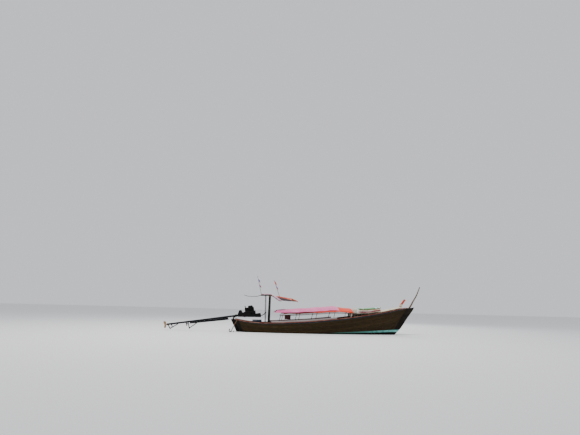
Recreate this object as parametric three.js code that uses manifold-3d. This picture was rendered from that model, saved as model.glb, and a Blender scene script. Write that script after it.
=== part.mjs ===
// Longtail boat, afloat with its tail lifted clear of the water.
// Millimetres. +X to the bow, +Y to port, +Z up. The origin is on the waterline, amidships.
import * as THREE from 'three';
import { mergeVertices } from 'three/addons/utils/BufferGeometryUtils.js';
import Module from 'manifold-3d';

const wasm = await Module();
wasm.setup();

// Driving dimensions
const GAP = 0.3;
const PLANK = 32;
const SIDING = 45;
const RAIL = { aft: -4770, fore: 4520, inboard: 40, outboard: 20, height: 42 };
const WASHBOARD = { aft: -2880, fore: 520, inboard: 34, outboard: 8, high: 80 };
const INWALE = { aft: -4500, fore: 3900, low: -70, high: -15, out: -20, inn: 55 };
const KEEL_DEPTH = 85;
const STEM_THICK = 45;

// Hull stations from stern to bow. Each is a raked plane through a point of the sheer and one of the keel.
// Columns: sheer x, sheer z, half beam, keel x, keel z, fullness (small is full, 1 is a straight V)
const STATIONS = [
  [-4780, 630, 420, -4400, -150, 0.40],
  [-4200, 530, 620, -3950, -220, 0.34],
  [-3400, 475, 775, -3250, -280, 0.30],
  [-2450, 500, 890, -2400, -320, 0.27],
  [-1600, 550, 945, -1600, -340, 0.26],
  [-850, 605, 965, -850, -350, 0.26],
  [60, 700, 955, 0, -350, 0.27],
  [1150, 830, 900, 950, -340, 0.31],
  [2250, 1000, 755, 1850, -310, 0.39],
  [3080, 1140, 570, 2550, -260, 0.50],
  [3620, 1245, 410, 3020, -190, 0.60],
  [3960, 1315, 290, 3340, -90, 0.70],
  [4220, 1360, 190, 3600, 80, 0.80],
  [4400, 1385, 115, 3870, 380, 0.90],
  [4530, 1405, 60, 4200, 890, 1.0],
].map(([xs, zs, b, xk, zk, q]) => ({ xs, zs, b, xk, zk, q }));

const COLORS = {
  varnish: 0x33280f, keel: 0x1a1512, red: 0x7a2420, pale: 0xa89a98, cream: 0xd8cfba, timber: 0x6d5438,
  pink: 0xd98fb4, orange: 0xe05a32, pole: 0x8d7a60, dark: 0x15161a, steel: 0x3a3f44, bronze: 0x8a7355,
  brown: 0x4a3626, tan: 0xb29468, green: 0x6fae78, white: 0xe8e6e0, maroon: 0x5c1519, grey: 0x8b8f98,
};

const vec = (x, y, z) => new THREE.Vector3(x, y, z);
const lerp = THREE.MathUtils.lerp;
const rad = THREE.MathUtils.degToRad;

function material(color, roughness = 0.7, metalness = 0) {
  return new THREE.MeshStandardMaterial({ color, roughness, metalness });
}

// Position-only geometry with its shared vertices merged
function bare(geometry) {
  const g = geometry.clone();
  for (const name of Object.keys(g.attributes)) {
    if (name !== 'position') g.deleteAttribute(name);
  }
  return mergeVertices(g, 1e-3);
}

function solid(geometry) {
  const g = bare(geometry);
  const mesh = new wasm.Mesh({
    numProp: 3,
    vertProperties: new Float32Array(g.attributes.position.array),
    triVerts: new Uint32Array(g.index.array),
  });
  return new wasm.Manifold(mesh);
}

function geometryOf(manifold) {
  const mesh = manifold.getMesh();
  const g = new THREE.BufferGeometry();
  g.setAttribute('position', new THREE.BufferAttribute(new Float32Array(mesh.vertProperties), 3));
  g.setIndex(new THREE.BufferAttribute(new Uint32Array(mesh.triVerts), 1));
  return g;
}

const join = (...geometries) => geometryOf(geometries.map(solid).reduce((a, b) => a.add(b)));

// Skin through closed rings of equal length, capped at both ends about each end ring's middle
function loft(rings) {
  const n = rings[0].length;
  const points = rings.flat();
  const index = [];
  for (let i = 0; i + 1 < rings.length; i++) {
    for (let j = 0; j < n; j++) {
      const k = (j + 1) % n;
      const [a, b, c, d] = [i * n + j, i * n + k, (i + 1) * n + k, (i + 1) * n + j];
      index.push(a, b, c, a, c, d);
    }
  }
  for (const [ring, first, flip] of [[rings[0], 0, true], [rings.at(-1), (rings.length - 1) * n, false]]) {
    const middle = ring.reduce((sum, p) => sum.add(p), vec(0, 0, 0)).divideScalar(n);
    const m = points.push(middle) - 1;
    for (let j = 0; j < n; j++) {
      const k = (j + 1) % n;
      index.push(m, ...(flip ? [first + k, first + j] : [first + j, first + k]));
    }
  }
  const g = new THREE.BufferGeometry().setFromPoints(points);
  g.setIndex(index);
  return outward(g);
}

// Turns the faces round where the volume comes out negative
function outward(g) {
  const p = g.attributes.position;
  const index = Array.from(g.index.array);
  const [a, b, c] = [vec(0, 0, 0), vec(0, 0, 0), vec(0, 0, 0)];
  let volume = 0;
  for (let i = 0; i < index.length; i += 3) {
    a.fromBufferAttribute(p, index[i]);
    b.fromBufferAttribute(p, index[i + 1]);
    c.fromBufferAttribute(p, index[i + 2]);
    volume += a.dot(b.cross(c));
  }
  for (let i = 0; volume < 0 && i < index.length; i += 3) [index[i], index[i + 1]] = [index[i + 1], index[i]];
  g.setIndex(index);
  return g;
}

// Thin solid on a grid of points, one face moved from the other by the thickness
const sheet = (grid, thickness) => between(grid, grid.map((row) => row.map((p) => p.clone().add(thickness))));

// Thin solid between two grids of points
function between(lowGrid, highGrid) {
  const [rows, columns] = [lowGrid.length, lowGrid[0].length];
  const [low, high] = [lowGrid.flat(), highGrid.flat()];
  const at = (i, j) => i * columns + j;
  const count = low.length;
  const index = [];
  const quad = (a, b, c, d) => index.push(a, b, c, a, c, d);
  for (let i = 0; i + 1 < rows; i++) {
    for (let j = 0; j + 1 < columns; j++) {
      const [a, b, c, d] = [at(i, j), at(i, j + 1), at(i + 1, j + 1), at(i + 1, j)];
      quad(a, b, c, d);
      index.push(count + a, count + c, count + b, count + a, count + d, count + c);
    }
  }
  const border = [];
  const [lastRow, lastColumn] = [rows - 1, columns - 1];
  for (let j = 0; j < lastColumn; j++) {
    border.push([at(0, j + 1), at(0, j)], [at(lastRow, j), at(lastRow, j + 1)]);
  }
  for (let i = 0; i < lastRow; i++) {
    border.push([at(i, 0), at(i + 1, 0)], [at(i + 1, lastColumn), at(i, lastColumn)]);
  }
  for (const [a, b] of border) quad(a, b, count + b, count + a);
  const g = new THREE.BufferGeometry().setFromPoints([...low, ...high]);
  g.setIndex(index);
  return outward(g);
}

// Box between two corners
function box(x0, x1, y0, y1, z0, z1) {
  const g = new THREE.BoxGeometry(x1 - x0, y1 - y0, z1 - z0);
  return g.translate((x0 + x1) / 2, (y0 + y1) / 2, (z0 + z1) / 2);
}

// Side view outline of [x, z] points, as thick as twice half, about the centre plane
function sideProfile(outline, half) {
  const shape = new THREE.Shape(outline.map(([x, z]) => new THREE.Vector2(x, z)));
  const g = new THREE.ExtrudeGeometry(shape, { depth: 2 * half, bevelEnabled: false });
  return g.rotateX(Math.PI / 2).translate(0, half, 0);
}

// Straight round bar between two points
function bar(from, to, radius, sides = 8, endRadius = radius) {
  const length = from.distanceTo(to);
  const g = new THREE.CylinderGeometry(endRadius, radius, length, sides);
  const turn = new THREE.Quaternion().setFromUnitVectors(vec(0, 1, 0), to.clone().sub(from).normalize());
  return g.applyQuaternion(turn).translate(...from.clone().add(to).multiplyScalar(0.5).toArray());
}

// Points of an ellipse, as the corners of a polygon
function polygon(a, b, sides) {
  const turn = (i) => (2 * Math.PI * (i + 0.5)) / sides;
  const corner = (_, i) => new THREE.Vector2(a * Math.cos(turn(i)), b * Math.sin(turn(i)));
  return Array.from({ length: sides }, corner);
}

// Round tube along a smooth path
function tube(points, radius, steps, sides = 8) {
  const outline = new THREE.Shape(polygon(radius, radius, sides));
  const path = new THREE.CatmullRomCurve3(points, false, 'centripetal');
  return new THREE.ExtrudeGeometry(outline, { steps, bevelEnabled: false, extrudePath: path });
}

// Station values at any place along the boat, by its sheer x
function stationAt(x) {
  let i = STATIONS.findIndex((s) => s.xs >= x);
  i = THREE.MathUtils.clamp(i < 0 ? STATIONS.length - 1 : i, 1, STATIONS.length - 1);
  const [a, b] = [STATIONS[i - 1], STATIONS[i]];
  const t = (x - a.xs) / (b.xs - a.xs);
  return Object.fromEntries(Object.keys(a).map((key) => [key, lerp(a[key], b[key], t)]));
}

const sheerZ = (x) => stationAt(x).zs;
const halfBeam = (x) => stationAt(x).b;

// Height fractions of a section's points, from the keel to the sheer
const HEIGHTS = [0, 0.012, 0.05, 0.13, 0.28, 0.52, 0.78, 1];

// One station's ring, inset by a wall, going on above the sheer by a fraction of its height
function ring(station, inset, above) {
  const zk = station.zk + inset * (1 + station.q);
  const flat = Math.max(4, SIDING - inset * 1.2);
  const side = HEIGHTS.map((u) => {
    const rise = (station.b - inset - flat) * u ** station.q;
    return { u, y: flat + rise, z: lerp(zk, station.zs, u) };
  });
  if (above) side.push({ u: 1 + above, y: station.b - inset, z: lerp(zk, station.zs, 1 + above) });
  const place = ({ y, z }, sign) => {
    const t = (z - station.zk) / (station.zs - station.zk);
    return vec(lerp(station.xk, station.xs, t), sign * y, z);
  };
  return [...side.map((p) => place(p, 1)), ...side.reverse().map((p) => place(p, -1))];
}

// The hull as a solid volume, inset by a wall; the inset ones pass out through the stern and the top
function hullVolume(inset, { above = 0, last = STATIONS.length, aft = 0 } = {}) {
  const rows = STATIONS.slice(0, last);
  if (aft) {
    const [a, b] = rows;
    const back = Object.fromEntries(Object.keys(a).map((key) => [key, lerp(a[key], b[key], -aft)]));
    rows.unshift(back);
  }
  return loft(rows.map((row) => ring(row, inset, above)));
}

const INNER_LAST = 14;
const inner = (inset) => solid(hullVolume(inset, { above: 0.5, last: INNER_LAST, aft: 0.25 }));
const HULL_OUTER = solid(hullVolume(0));
const HULL_ROOM = inner(PLANK);
const FIT_ROOM = inner(PLANK + GAP);

const boat = new THREE.Group();

function add(name, geometry, color, parent = boat, roughness, metalness) {
  const mesh = new THREE.Mesh(geometry, material(color, roughness, metalness));
  mesh.name = name;
  parent.add(mesh);
  return mesh;
}

// Bar of rectangular section that follows the sheer on one side
// y0, y1 are offsets in from the half beam, z0, z1 heights over the sheer
function alongSheer(xa, xb, side, y0, y1, z0, z1) {
  const xs = [xa, ...STATIONS.map((s) => s.xs).filter((x) => x > xa + 1 && x < xb - 1), xb];
  return loft(xs.map((x) => {
    const { b, zs } = stationAt(x);
    const [inboard, outboard, low, high] = [side * (b - y0), side * (b - y1), zs + z0, zs + z1];
    return [vec(x, inboard, low), vec(x, outboard, low), vec(x, outboard, high), vec(x, inboard, high)];
  }));
}

const SIDES = [['port', 1], ['starboard', -1]];

// Hull
function hull() {
  add('hull_shell', geometryOf(HULL_OUTER.subtract(HULL_ROOM)), COLORS.varnish);

  const first = STATIONS[0];
  const rake = (first.xs - first.xk) / (first.zs - first.zk);
  const sternX = (z) => first.xk + (z - first.zk) * rake;
  const TRANSOM = { thick: 45, low: -200, high: 595, inset: 2 };
  const board = sideProfile([
    [sternX(TRANSOM.low) + TRANSOM.inset, TRANSOM.low],
    [sternX(TRANSOM.low) + TRANSOM.inset + TRANSOM.thick, TRANSOM.low],
    [sternX(TRANSOM.high) + TRANSOM.inset + TRANSOM.thick, TRANSOM.high],
    [sternX(TRANSOM.high) + TRANSOM.inset, TRANSOM.high],
  ], 600);
  add('transom', geometryOf(solid(board).intersect(FIT_ROOM)), COLORS.varnish);

  const keelEnd = 3020;
  const bottom = STATIONS.map((s) => [s.xk, s.zk - GAP]);
  const keelTop = bottom.filter(([x]) => x <= keelEnd);
  const keelBottom = keelTop.map(([x, z]) => [x, z + GAP - KEEL_DEPTH]).reverse();
  add('keel', sideProfile([...keelTop, ...keelBottom], SIDING), COLORS.keel);

  // The stem's front face, from its head to its foot, as x and z
  const STEM_FRONT = [
    [4960, 1474], [4884, 1325], [4560, 900], [4200, 370], [4060, 230],
    [3860, 20], [3560, -170], [3320, -245], [3021, -275],
  ];
  const stemBack = bottom.filter(([x]) => x > keelEnd - 1).map(([x, z]) => [x + GAP, z]);
  stemBack[0] = [keelEnd + 1, stemBack[0][1]];
  const head = STATIONS.at(-1);
  stemBack.push([head.xs + 2 * GAP, head.zs], [head.xs + 20, 1440], [4790, 1440]);
  add('stem', sideProfile([...stemBack, ...STEM_FRONT], STEM_THICK), COLORS.keel);

  // The sternpost's aft face, and its flat head that carries the tail
  const POST = { head: 625, aftTop: -4985, aftWater: [-4690, 30], foot: [-4490, -240], half: 50 };
  const post = [
    [sternX(POST.head) - GAP, POST.head],
    [POST.aftTop, POST.head],
    POST.aftWater,
    POST.foot,
    [first.xk - GAP * 4, first.zk - KEEL_DEPTH],
    [first.xk - GAP * 4, first.zk - GAP * 4],
    [first.xk - GAP, first.zk],
  ];
  add('sternpost', sideProfile(post, POST.half), COLORS.keel);

  for (const [name, side] of SIDES) {
    const rail = alongSheer(RAIL.aft, RAIL.fore, side, RAIL.inboard, -RAIL.outboard, GAP, RAIL.height);
    add(`gunwale_${name}`, rail, COLORS.red);
    const top = RAIL.height + GAP;
    const { aft, fore, inboard, outboard, high } = WASHBOARD;
    add(`washboard_${name}`, alongSheer(aft, fore, side, inboard, outboard, top, top + high), COLORS.pale);
  }
}

// Timbers and boards inside the hull
const RIB = { deep: 40, wide: 50, first: -3920, pitch: 590, count: 13, top: -40 };
const KEELSON_HALF = 60;
const SOLE = { top: -135, thick: 22, aft: -3750, fore: 2750 };
// Thwart centres, each half way between two frames
const THWARTS = [-1855, -1265, -85, 505];
const THWART = { half: 120, thick: 32, drop: 150 };
const DECK_AFT = { aft: -4400, fore: -3330, low: 412, high: 440 };
// A slab's reach past anything that cuts it
const FAR = 1200;
const DEEP = -500;

function inside() {
  const band = inner(PLANK + GAP).subtract(inner(PLANK + GAP + RIB.deep));
  let ribs = null;
  for (let i = 0; i < RIB.count; i++) {
    const x = RIB.first + i * RIB.pitch;
    const top = sheerZ(x) + RIB.top;
    const slab = solid(box(x - RIB.wide / 2, x + RIB.wide / 2, -FAR, FAR, DEEP, top));
    const rib = slab.intersect(band);
    ribs = ribs ? ribs.add(rib) : rib;
  }
  const last = RIB.first + (RIB.count - 1) * RIB.pitch;
  const keelson = solid(box(RIB.first, last, -KEELSON_HALF, KEELSON_HALF, DEEP, 0)).intersect(band);
  const clamps = SIDES.map(([, side]) => solid(inwale(side)).intersect(FIT_ROOM));
  add('frames', geometryOf(ribs.add(keelson).add(clamps[0]).add(clamps[1])), COLORS.timber);

  const clear = inner(PLANK + 2 * GAP + RIB.deep);
  const sole = solid(box(SOLE.aft, SOLE.fore, -FAR, FAR, SOLE.top - SOLE.thick, SOLE.top)).intersect(clear);
  add('floorboards', geometryOf(sole), COLORS.timber);

  THWARTS.forEach((x, i) => {
    const z = sheerZ(x) - THWART.drop;
    const plank = box(x - THWART.half, x + THWART.half, -FAR, FAR, z - THWART.thick, z);
    add(`thwart_${i + 1}`, geometryOf(solid(plank).intersect(FIT_ROOM)), COLORS.timber);
  });

  // Aft deck between the inwales, under the engine
  const { aft, fore, low, high } = DECK_AFT;
  const places = [aft, ...STATIONS.map((s) => s.xs).filter((x) => x > aft && x < fore), fore];
  const rings = places.map((x) => {
    const half = halfBeam(x) - PLANK - INWALE.inn - GAP;
    return [vec(x, -half, low), vec(x, half, low), vec(x, half, high), vec(x, -half, high)];
  });
  add('aft_deck', geometryOf(solid(loft(rings)).intersect(clear)), COLORS.timber);
}

// Foredeck on its beams, with what lies on it
const DECK = { aft: 1420, fore: 4230, beam: 26, thick: 30, over: 8, camber: 35, beams: 8 };
const DECK_LEVEL = { aft: 1045, rise: 0.029 };
const DECK_ROWS = [1420, 1800, 2250, 2600, 3080, 3620, 3960, 4230];
const BEAM = { first: 60, last: 120, half: 25, inside: 12 };
// The mats' ends and middle: x, height over the deck
const MATS = { rows: [[1900, 240], [2470, 215], [3040, 190]], half: 380, sunk: 22 };
const CAN = { x: 1575, y: -430, long: 210, wide: 160, high: 1372 };
const SHELF = { x: 1518, half: 97, thick: 30, drop: 110 };
// The boards follow the rails forward, and stand clear of them aft
const deckUnder = (x) => Math.max(
  DECK_LEVEL.aft + DECK_LEVEL.rise * (x - DECK.aft),
  sheerZ(x) + RAIL.height + GAP + DECK.beam,
);
const deckTop = (x) => deckUnder(x) + DECK.thick + DECK.camber;

// The deck's cambered boards; raise moves them up, to cut what stands on them
function deckBoards(raise = 0) {
  return loft(DECK_ROWS.map((x) => {
    const half = halfBeam(x) + DECK.over;
    const place = (t, z) => vec(x, half * t, deckUnder(x) + raise + DECK.camber * (1 - t * t) + z);
    return [
      ...[-1, -0.5, 0, 0.5, 1].map((t) => place(t, 0)),
      ...[1, 0.5, 0, -0.5, -1].map((t) => place(t, DECK.thick)),
    ];
  }));
}

const onDeck = (geometry) => geometryOf(solid(geometry).subtract(solid(deckBoards(GAP))));

function foredeck() {
  const beams = [];
  for (let i = 0; i < DECK.beams; i++) {
    const x = lerp(DECK.aft + BEAM.first, DECK.fore - BEAM.last, i / (DECK.beams - 1));
    const half = halfBeam(x + BEAM.half) - BEAM.inside;
    const low = sheerZ(x + BEAM.half) + RAIL.height + 2 * GAP;
    beams.push(box(x - BEAM.half, x + BEAM.half, -half, half, low, deckUnder(x) + DECK.thick / 2));
  }
  add('foredeck', join(deckBoards(), ...beams), COLORS.cream);

  const mats = MATS.rows.map(([x, height]) => {
    const [low, high] = [deckTop(x) - MATS.sunk, deckTop(x) + height];
    return [[-1, low], [1, low], [1, high], [-1, high]].map(([side, z]) => vec(x, side * MATS.half, z));
  });
  add('deck_mats', onDeck(loft(mats)), COLORS.green);

  const seat = sheerZ(SHELF.x) - SHELF.drop;
  const shelf = box(SHELF.x - SHELF.half, SHELF.x + SHELF.half, -FAR, FAR, seat - SHELF.thick, seat);
  add('thwart_5', geometryOf(solid(shelf).intersect(FIT_ROOM)), COLORS.timber);
  const [x, y] = [CAN.long / 2, CAN.wide / 2];
  const can = box(CAN.x - x, CAN.x + x, CAN.y - y, CAN.y + y, deckTop(CAN.x) - MATS.sunk, CAN.high);
  add('canister', onDeck(can), COLORS.cream);
}

// Prow pole on the stem's head, and the bow horn on the deck
// Columns of the pole: x, z, half depth
const POLE = [
  [4700, 1440.3, 46], [4800, 1585, 42], [4905, 1775, 37], [5020, 1955, 33],
  [5125, 2135, 30], [5215, 2335, 27], [5320, 2590, 21],
];
// Columns of the horn: x, height over the deck, half width
const HORN = [[4172, -14, 58], [4262, 130, 52], [4362, 270, 49], [4458, 395, 50]];

function bow() {
  const rings = POLE.map(([x, z, r], i) => {
    const [dx, dz] = i ? [x - POLE[i - 1][0], z - POLE[i - 1][1]] : [0, 1];
    const length = Math.hypot(dx, dz);
    const [ax, az] = [dz / length, -dx / length];
    const corners = [[-1, -0.6], [1, -0.6], [1, 0.6], [-1, 0.6]];
    return corners.map(([s, t]) => vec(x + ax * r * s, r * t, z + az * r * s));
  });
  add('prow_pole', loft(rings), COLORS.brown);

  const deck = deckTop(HORN[0][0]);
  const corners = [[-1, -1], [1, -1], [1, 1], [-1, 1]];
  const horn = HORN.map(([x, h, r]) => corners.map(([s, t]) => vec(x + r * s, r * 0.8 * t, deck + h)));
  add('bow_horn', onDeck(loft(horn)), COLORS.orange);
}

// Canopy: hoops that lean forward, side rails, the orange sheet and the pink one over it
// Columns: foot x, height of the arch's ends over the sheer, rise of its crown over them
const HOOPS = [[-2400, 479, 187], [-1520, 467, 210], [-620, 455, 230], [330, 424, 242], [1250, 282, 179]];
const HOOP = { radius: 14, lean: 120, half: 770, foot: 62, sunk: 8 };
// The rail's height up the legs, how far it bites into them, and how far it runs past the end hoops
const COVER_THICK = 14;
const PINK_FORE = 660;
const SIDE_RAIL = { radius: 12, at: 0.8, bite: 0.88, aft: vec(-90, 0, -4), fore: vec(60, 0, 8) };

// One column of the hoops' table at any place along the canopy
function canopyAt(x, column) {
  const tops = HOOPS.map(([foot]) => foot + HOOP.lean);
  const after = tops.findIndex((top) => top >= x);
  const i = THREE.MathUtils.clamp(after < 0 ? HOOPS.length - 1 : after, 1, HOOPS.length - 1);
  return lerp(HOOPS[i - 1][column], HOOPS[i][column], (x - tops[i - 1]) / (tops[i] - tops[i - 1]));
}

// Height of the canopy's edge line, by place
const edgeZ = (x) => sheerZ(x) + canopyAt(x, 1);

// A hoop's leg at a fraction of its height
function leg(x, t) {
  const top = x + HOOP.lean;
  const low = sheerZ(x) + INWALE.high - HOOP.sunk;
  return vec(lerp(x, top, t), lerp(halfBeam(x) - HOOP.foot, HOOP.half, t), lerp(low, edgeZ(top), t));
}

// Arch across the boat at x, from starboard to port as [y, z], raised off the hoops
// A reach below 1 stops it short of the edge line
function arch(x, half, lift, count, reach = 1) {
  const points = [];
  for (let i = 0; i <= count; i++) {
    const t = THREE.MathUtils.clamp(-1 + (2 * i) / count, -reach, reach);
    points.push([half * t, edgeZ(x) + lift + canopyAt(x, 2) * (1 - Math.abs(t) ** 2.4)]);
  }
  return points;
}

function canopyHoop(x) {
  const top = x + HOOP.lean;
  const mirror = (p) => vec(p.x, -p.y, p.z);
  const legs = [leg(x, 0), leg(x, 0.4), leg(x, SIDE_RAIL.at)];
  const crown = arch(top, HOOP.half, 0, 8).map(([y, z]) => vec(top, y, z));
  let hoop = solid(tube([...legs.map(mirror), ...crown, ...legs.reverse()], HOOP.radius, 24, 6));
  for (const [, side] of SIDES) {
    hoop = hoop.subtract(solid(inwale(side, GAP))).subtract(solid(sideRail(side, GAP)));
  }
  return geometryOf(hoop);
}

// Arched sheet laid over the hoops; a skirt turns its edges down
function archSheet({ aft, fore, out, lift, skirt = 0, reach = 1 }) {
  const breaks = [...HOOPS.map(([foot]) => foot + HOOP.lean), ...STATIONS.map((s) => s.xs), PINK_FORE];
  const inside = breaks.filter((x) => x > aft + 60 && x < fore - 60).sort((a, b) => a - b);
  const face = (grow) => [aft, ...inside, fore].map((x) => {
    const half = HOOP.half + out + grow;
    const section = arch(x, half, lift + grow, 10, reach);
    const low = edgeZ(x) + lift - skirt;
    const ends = skirt ? [[-half, low], ...section, [half, low]] : section;
    return ends.map(([y, z]) => vec(x, y, z));
  });
  return between(face(0), face(COVER_THICK));
}

function canopy() {
  HOOPS.forEach(([x], i) => add(`canopy_hoop_${i + 1}`, canopyHoop(x), COLORS.pole));
  const lift = HOOP.radius + 4 * GAP;
  const orange = archSheet({ aft: -2250, fore: 1390, out: 50, lift, skirt: 60 });
  const over = lift + COVER_THICK + 2 * GAP;
  const pink = archSheet({ aft: -2600, fore: PINK_FORE, out: 70, lift: over, reach: 0.96 });
  add('orange_sheet', orange, COLORS.orange);
  add('pink_sheet', pink, COLORS.pink);
  for (const [name, side] of SIDES) add(`canopy_rail_${name}`, sideRail(side), COLORS.pole);
}

// Rail along the inner side of the hoops' legs; grow thickens it, to cut what hangs on it
function sideRail(side, grow = 0) {
  const offset = (HOOP.radius + SIDE_RAIL.radius) * SIDE_RAIL.bite;
  const points = HOOPS.map(([x]) => {
    const p = leg(x, SIDE_RAIL.at);
    return vec(p.x, side * (p.y - offset), p.z);
  });
  points.unshift(points[0].clone().add(SIDE_RAIL.aft));
  points.push(points.at(-1).clone().add(SIDE_RAIL.fore));
  return tube(points, SIDE_RAIL.radius + grow, 14, 6);
}

// Clamp along the inside of the sheer; raise lifts its top, to cut the feet that stand on it
function inwale(side, raise = 0) {
  const { aft, fore, out, inn, low, high } = INWALE;
  return alongSheer(aft, fore, side, PLANK + out, PLANK + inn, low, high + raise);
}

// Helm roof: posts, side beams that slope down forward, cross beams, ridge pole, cloth and flags
const ROOF = { half: 600, aft: -3460, bend: -2930, high: 1915, pole: 18 };
const ROOF_CROSS = { at: [-3425, -2950], high: 26, wide: 30, over: 40 };
const RIDGE = { fore: -2900, radius: 17, bite: 3 };
// The ridge pole's crooked aft part as x and z, from its tip
const RIDGE_AFT = [[-4335, 1904], [-4130, 1850], [-3830, 1842], [-3620, 1862]];
// Each side beam forward of its level part: x, z
const ROOF_SLOPE = {
  port: [[-2930, 1915], [-1720, 1735], [-1390, 1610]],
  starboard: [[-2930, 1915], [-2790, 1838], [-2490, 1642], [-2370, 1632]],
};
const FLAG = { radius: 10, wide: 88, half: 6, droop: 60, from: 50 };
// Columns: foot x, head x, radius at the foot
const THICK_POST = [-2985, -2965, 42];
const THIN_POST = [-3165, -3190, 16];
// Cloth lines: starboard x and z, port x and z, and how far the middle sags; 0 is the frame's top
const ROOF_CLOTH = [
  [-3400, 0, -3400, 0, 0],
  [-3180, 0, -3180, 0, 0],
  [-2930, 0, -2930, 0, 0],
  [-2790, 1856, -2560, 1875.2, 8],
  [-2640, 1757.8, -2140, 1812.6, 14],
  [-2490, 1660, -1720, 1754, 14],
  [-2370, 1647, -1390, 1628, 6],
];
const CLOTH_THICK = 14;

// The side beam's sloping poles with a ball at each bend; grow thickens them, to cut what stands on them
function slopingBeam(name, side, grow = 0) {
  const radius = ROOF.pole * 0.8 + grow;
  const points = ROOF_SLOPE[name].map(([x, z]) => vec(x, side * ROOF.half, z));
  const ball = (p) => solid(new THREE.SphereGeometry(radius, 8, 6).translate(...p.toArray()));
  const poles = points.slice(1).map((p, i) => solid(bar(points[i], p, radius, 8)));
  return [...poles, ...points.slice(1, -1).map(ball)].reduce((a, b) => a.add(b));
}

function helmRoof() {
  const beamLow = ROOF.high - ROOF.pole;
  for (const [name, side] of SIDES) {
    const post = ([x, headX, radius], head) => {
      const foot = halfBeam(x) - RAIL.inboard - radius - 10;
      const from = vec(x, side * foot, sheerZ(x) + INWALE.high - 6);
      return solid(bar(from, vec(headX, side * ROOF.half, head), radius, 8, radius * 0.8));
    };
    const y = side * ROOF.half;
    const under = solid(box(ROOF.aft, ROOF.bend, -FAR, FAR, beamLow - GAP, beamLow + FAR));
    const clamp = solid(inwale(side, GAP));
    const column = post(THICK_POST, beamLow + 6).subtract(clamp).subtract(under);
    add(`helm_post_${name}`, geometryOf(column), COLORS.dark);

    const { pole, high, aft, bend } = ROOF;
    const level = solid(box(aft, bend + 10, y - pole, y + pole, beamLow, high + pole));
    const beam = level.add(slopingBeam(name, side)).add(post(THIN_POST, beamLow + 6).subtract(clamp));
    add(`roof_beam_${name}`, geometryOf(beam), COLORS.pole);
  }
  const crossLow = ROOF.high + ROOF.pole + GAP;
  const crosses = ROOF_CROSS.at.map((x) => {
    const [long, wide] = [ROOF.half + ROOF_CROSS.over, ROOF_CROSS.wide / 2];
    return box(x - wide, x + wide, -long, long, crossLow, crossLow + ROOF_CROSS.high);
  });
  const ridgeZ = crossLow + RIDGE.bite - RIDGE.radius;
  const ridgeFore = [ROOF_CROSS.at[0] - 20, ROOF_CROSS.at[0] + 200, RIDGE.fore].map((x) => [x, ridgeZ]);
  const ridgeLine = [...RIDGE_AFT, ...ridgeFore].map(([x, z]) => vec(x, 0, z));
  add('roof_crossframe', join(...crosses, tube(ridgeLine, RIDGE.radius, 20)), COLORS.grey);

  const crossTop = crossLow + ROOF_CROSS.high + GAP;
  const grid = ROOF_CLOTH.map(([xs, zs, xp, zp, sag]) => [0, 0.25, 0.5, 0.75, 1].map((t) => {
    const z = lerp(zs || crossTop, zp || crossTop, t) - sag * 4 * t * (1 - t);
    return vec(lerp(xs, xp, t), ROOF.half * (2 * t - 1), z);
  }));
  add('roof_cloth', sheet(grid, vec(0, 0, CLOTH_THICK)), COLORS.pink);

  // Flag poles by foot and head, where the flag ends below the head, and what each one stands against
  const beamRadius = ROOF.pole * 0.8;
  const outboard = ROOF.half + beamRadius + FLAG.radius - 1;
  const beam = slopingBeam('port', 1, GAP);
  const cross = solid(box(ROOF_CROSS.at[0] - 40, ROOF_CROSS.at[0] + 40, -80, 80, crossLow, crossTop));
  const POLES = [
    { foot: vec(ROOF_CROSS.at[0] - 3, 0, crossTop - 4), head: vec(-3665, 0, 2950), to: 610, seat: cross },
    { foot: vec(-2385, outboard, 1812), head: vec(-2735, outboard, 2770), to: 500, seat: beam },
  ];
  POLES.forEach(({ foot, head, to, seat }, i) => {
    const pole = solid(bar(foot, head, FLAG.radius, 6)).subtract(seat);
    add(`flagpole_${i + 1}`, geometryOf(pole), COLORS.pole);
    const along = head.clone().sub(foot).normalize();
    const edges = [FLAG.from, to].map((down) => head.clone().addScaledVector(along, -down));
    const corners = [[0, -1], [1, -1], [1, 1], [0, 1]];
    const flag = edges.map((p) => corners.map(([out, y]) => {
      return vec(p.x + out * FLAG.wide, p.y + y * FLAG.half, p.z - out * FLAG.droop);
    }));
    const grown = solid(bar(foot, head, FLAG.radius + GAP, 6));
    add(`flag_${i + 1}`, geometryOf(solid(loft(flag)).subtract(grown)), COLORS.white);
  });
}

// Fuel tank lying on the aft deck, and the red panel hung from the starboard canopy rail
const TANK = { aft: -3860, fore: -3370, y: -360, radius: 105 };
const PANEL = { aft: -2200, fore: -1885, out: -754, inn: -742, low: 705, high: 935 };

function fittings() {
  const tankZ = DECK_AFT.high + GAP + TANK.radius;
  const tank = bar(vec(TANK.aft, TANK.y, tankZ), vec(TANK.fore, TANK.y, tankZ), TANK.radius, 16);
  add('fuel_tank', tank, COLORS.dark);

  const panel = solid(box(PANEL.aft, PANEL.fore, PANEL.out, PANEL.inn, PANEL.low, PANEL.high));
  add('side_panel', geometryOf(panel.subtract(solid(sideRail(-1, GAP)))), COLORS.maroon);
}

// Tail: steering pin, swivel, and what lifts on it
const YAW_X = -4865;
const TILT = { x: -4720, z: 815, slope: rad(8.4) };
const PIN = { radius: 15, play: 0.6, reach: 150 };
const SOCKET = { low: 625, plate: 12, half: 45, pin: 16, top: 684 };
const FORK = { inner: 118, thick: 24, base: 42, low: 638, sleeve: 674, bar: 690, half: 24, eye: 30 };

const hole = (from, to, radius, sides = 16) => solid(bar(from, to, radius, sides));

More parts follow.
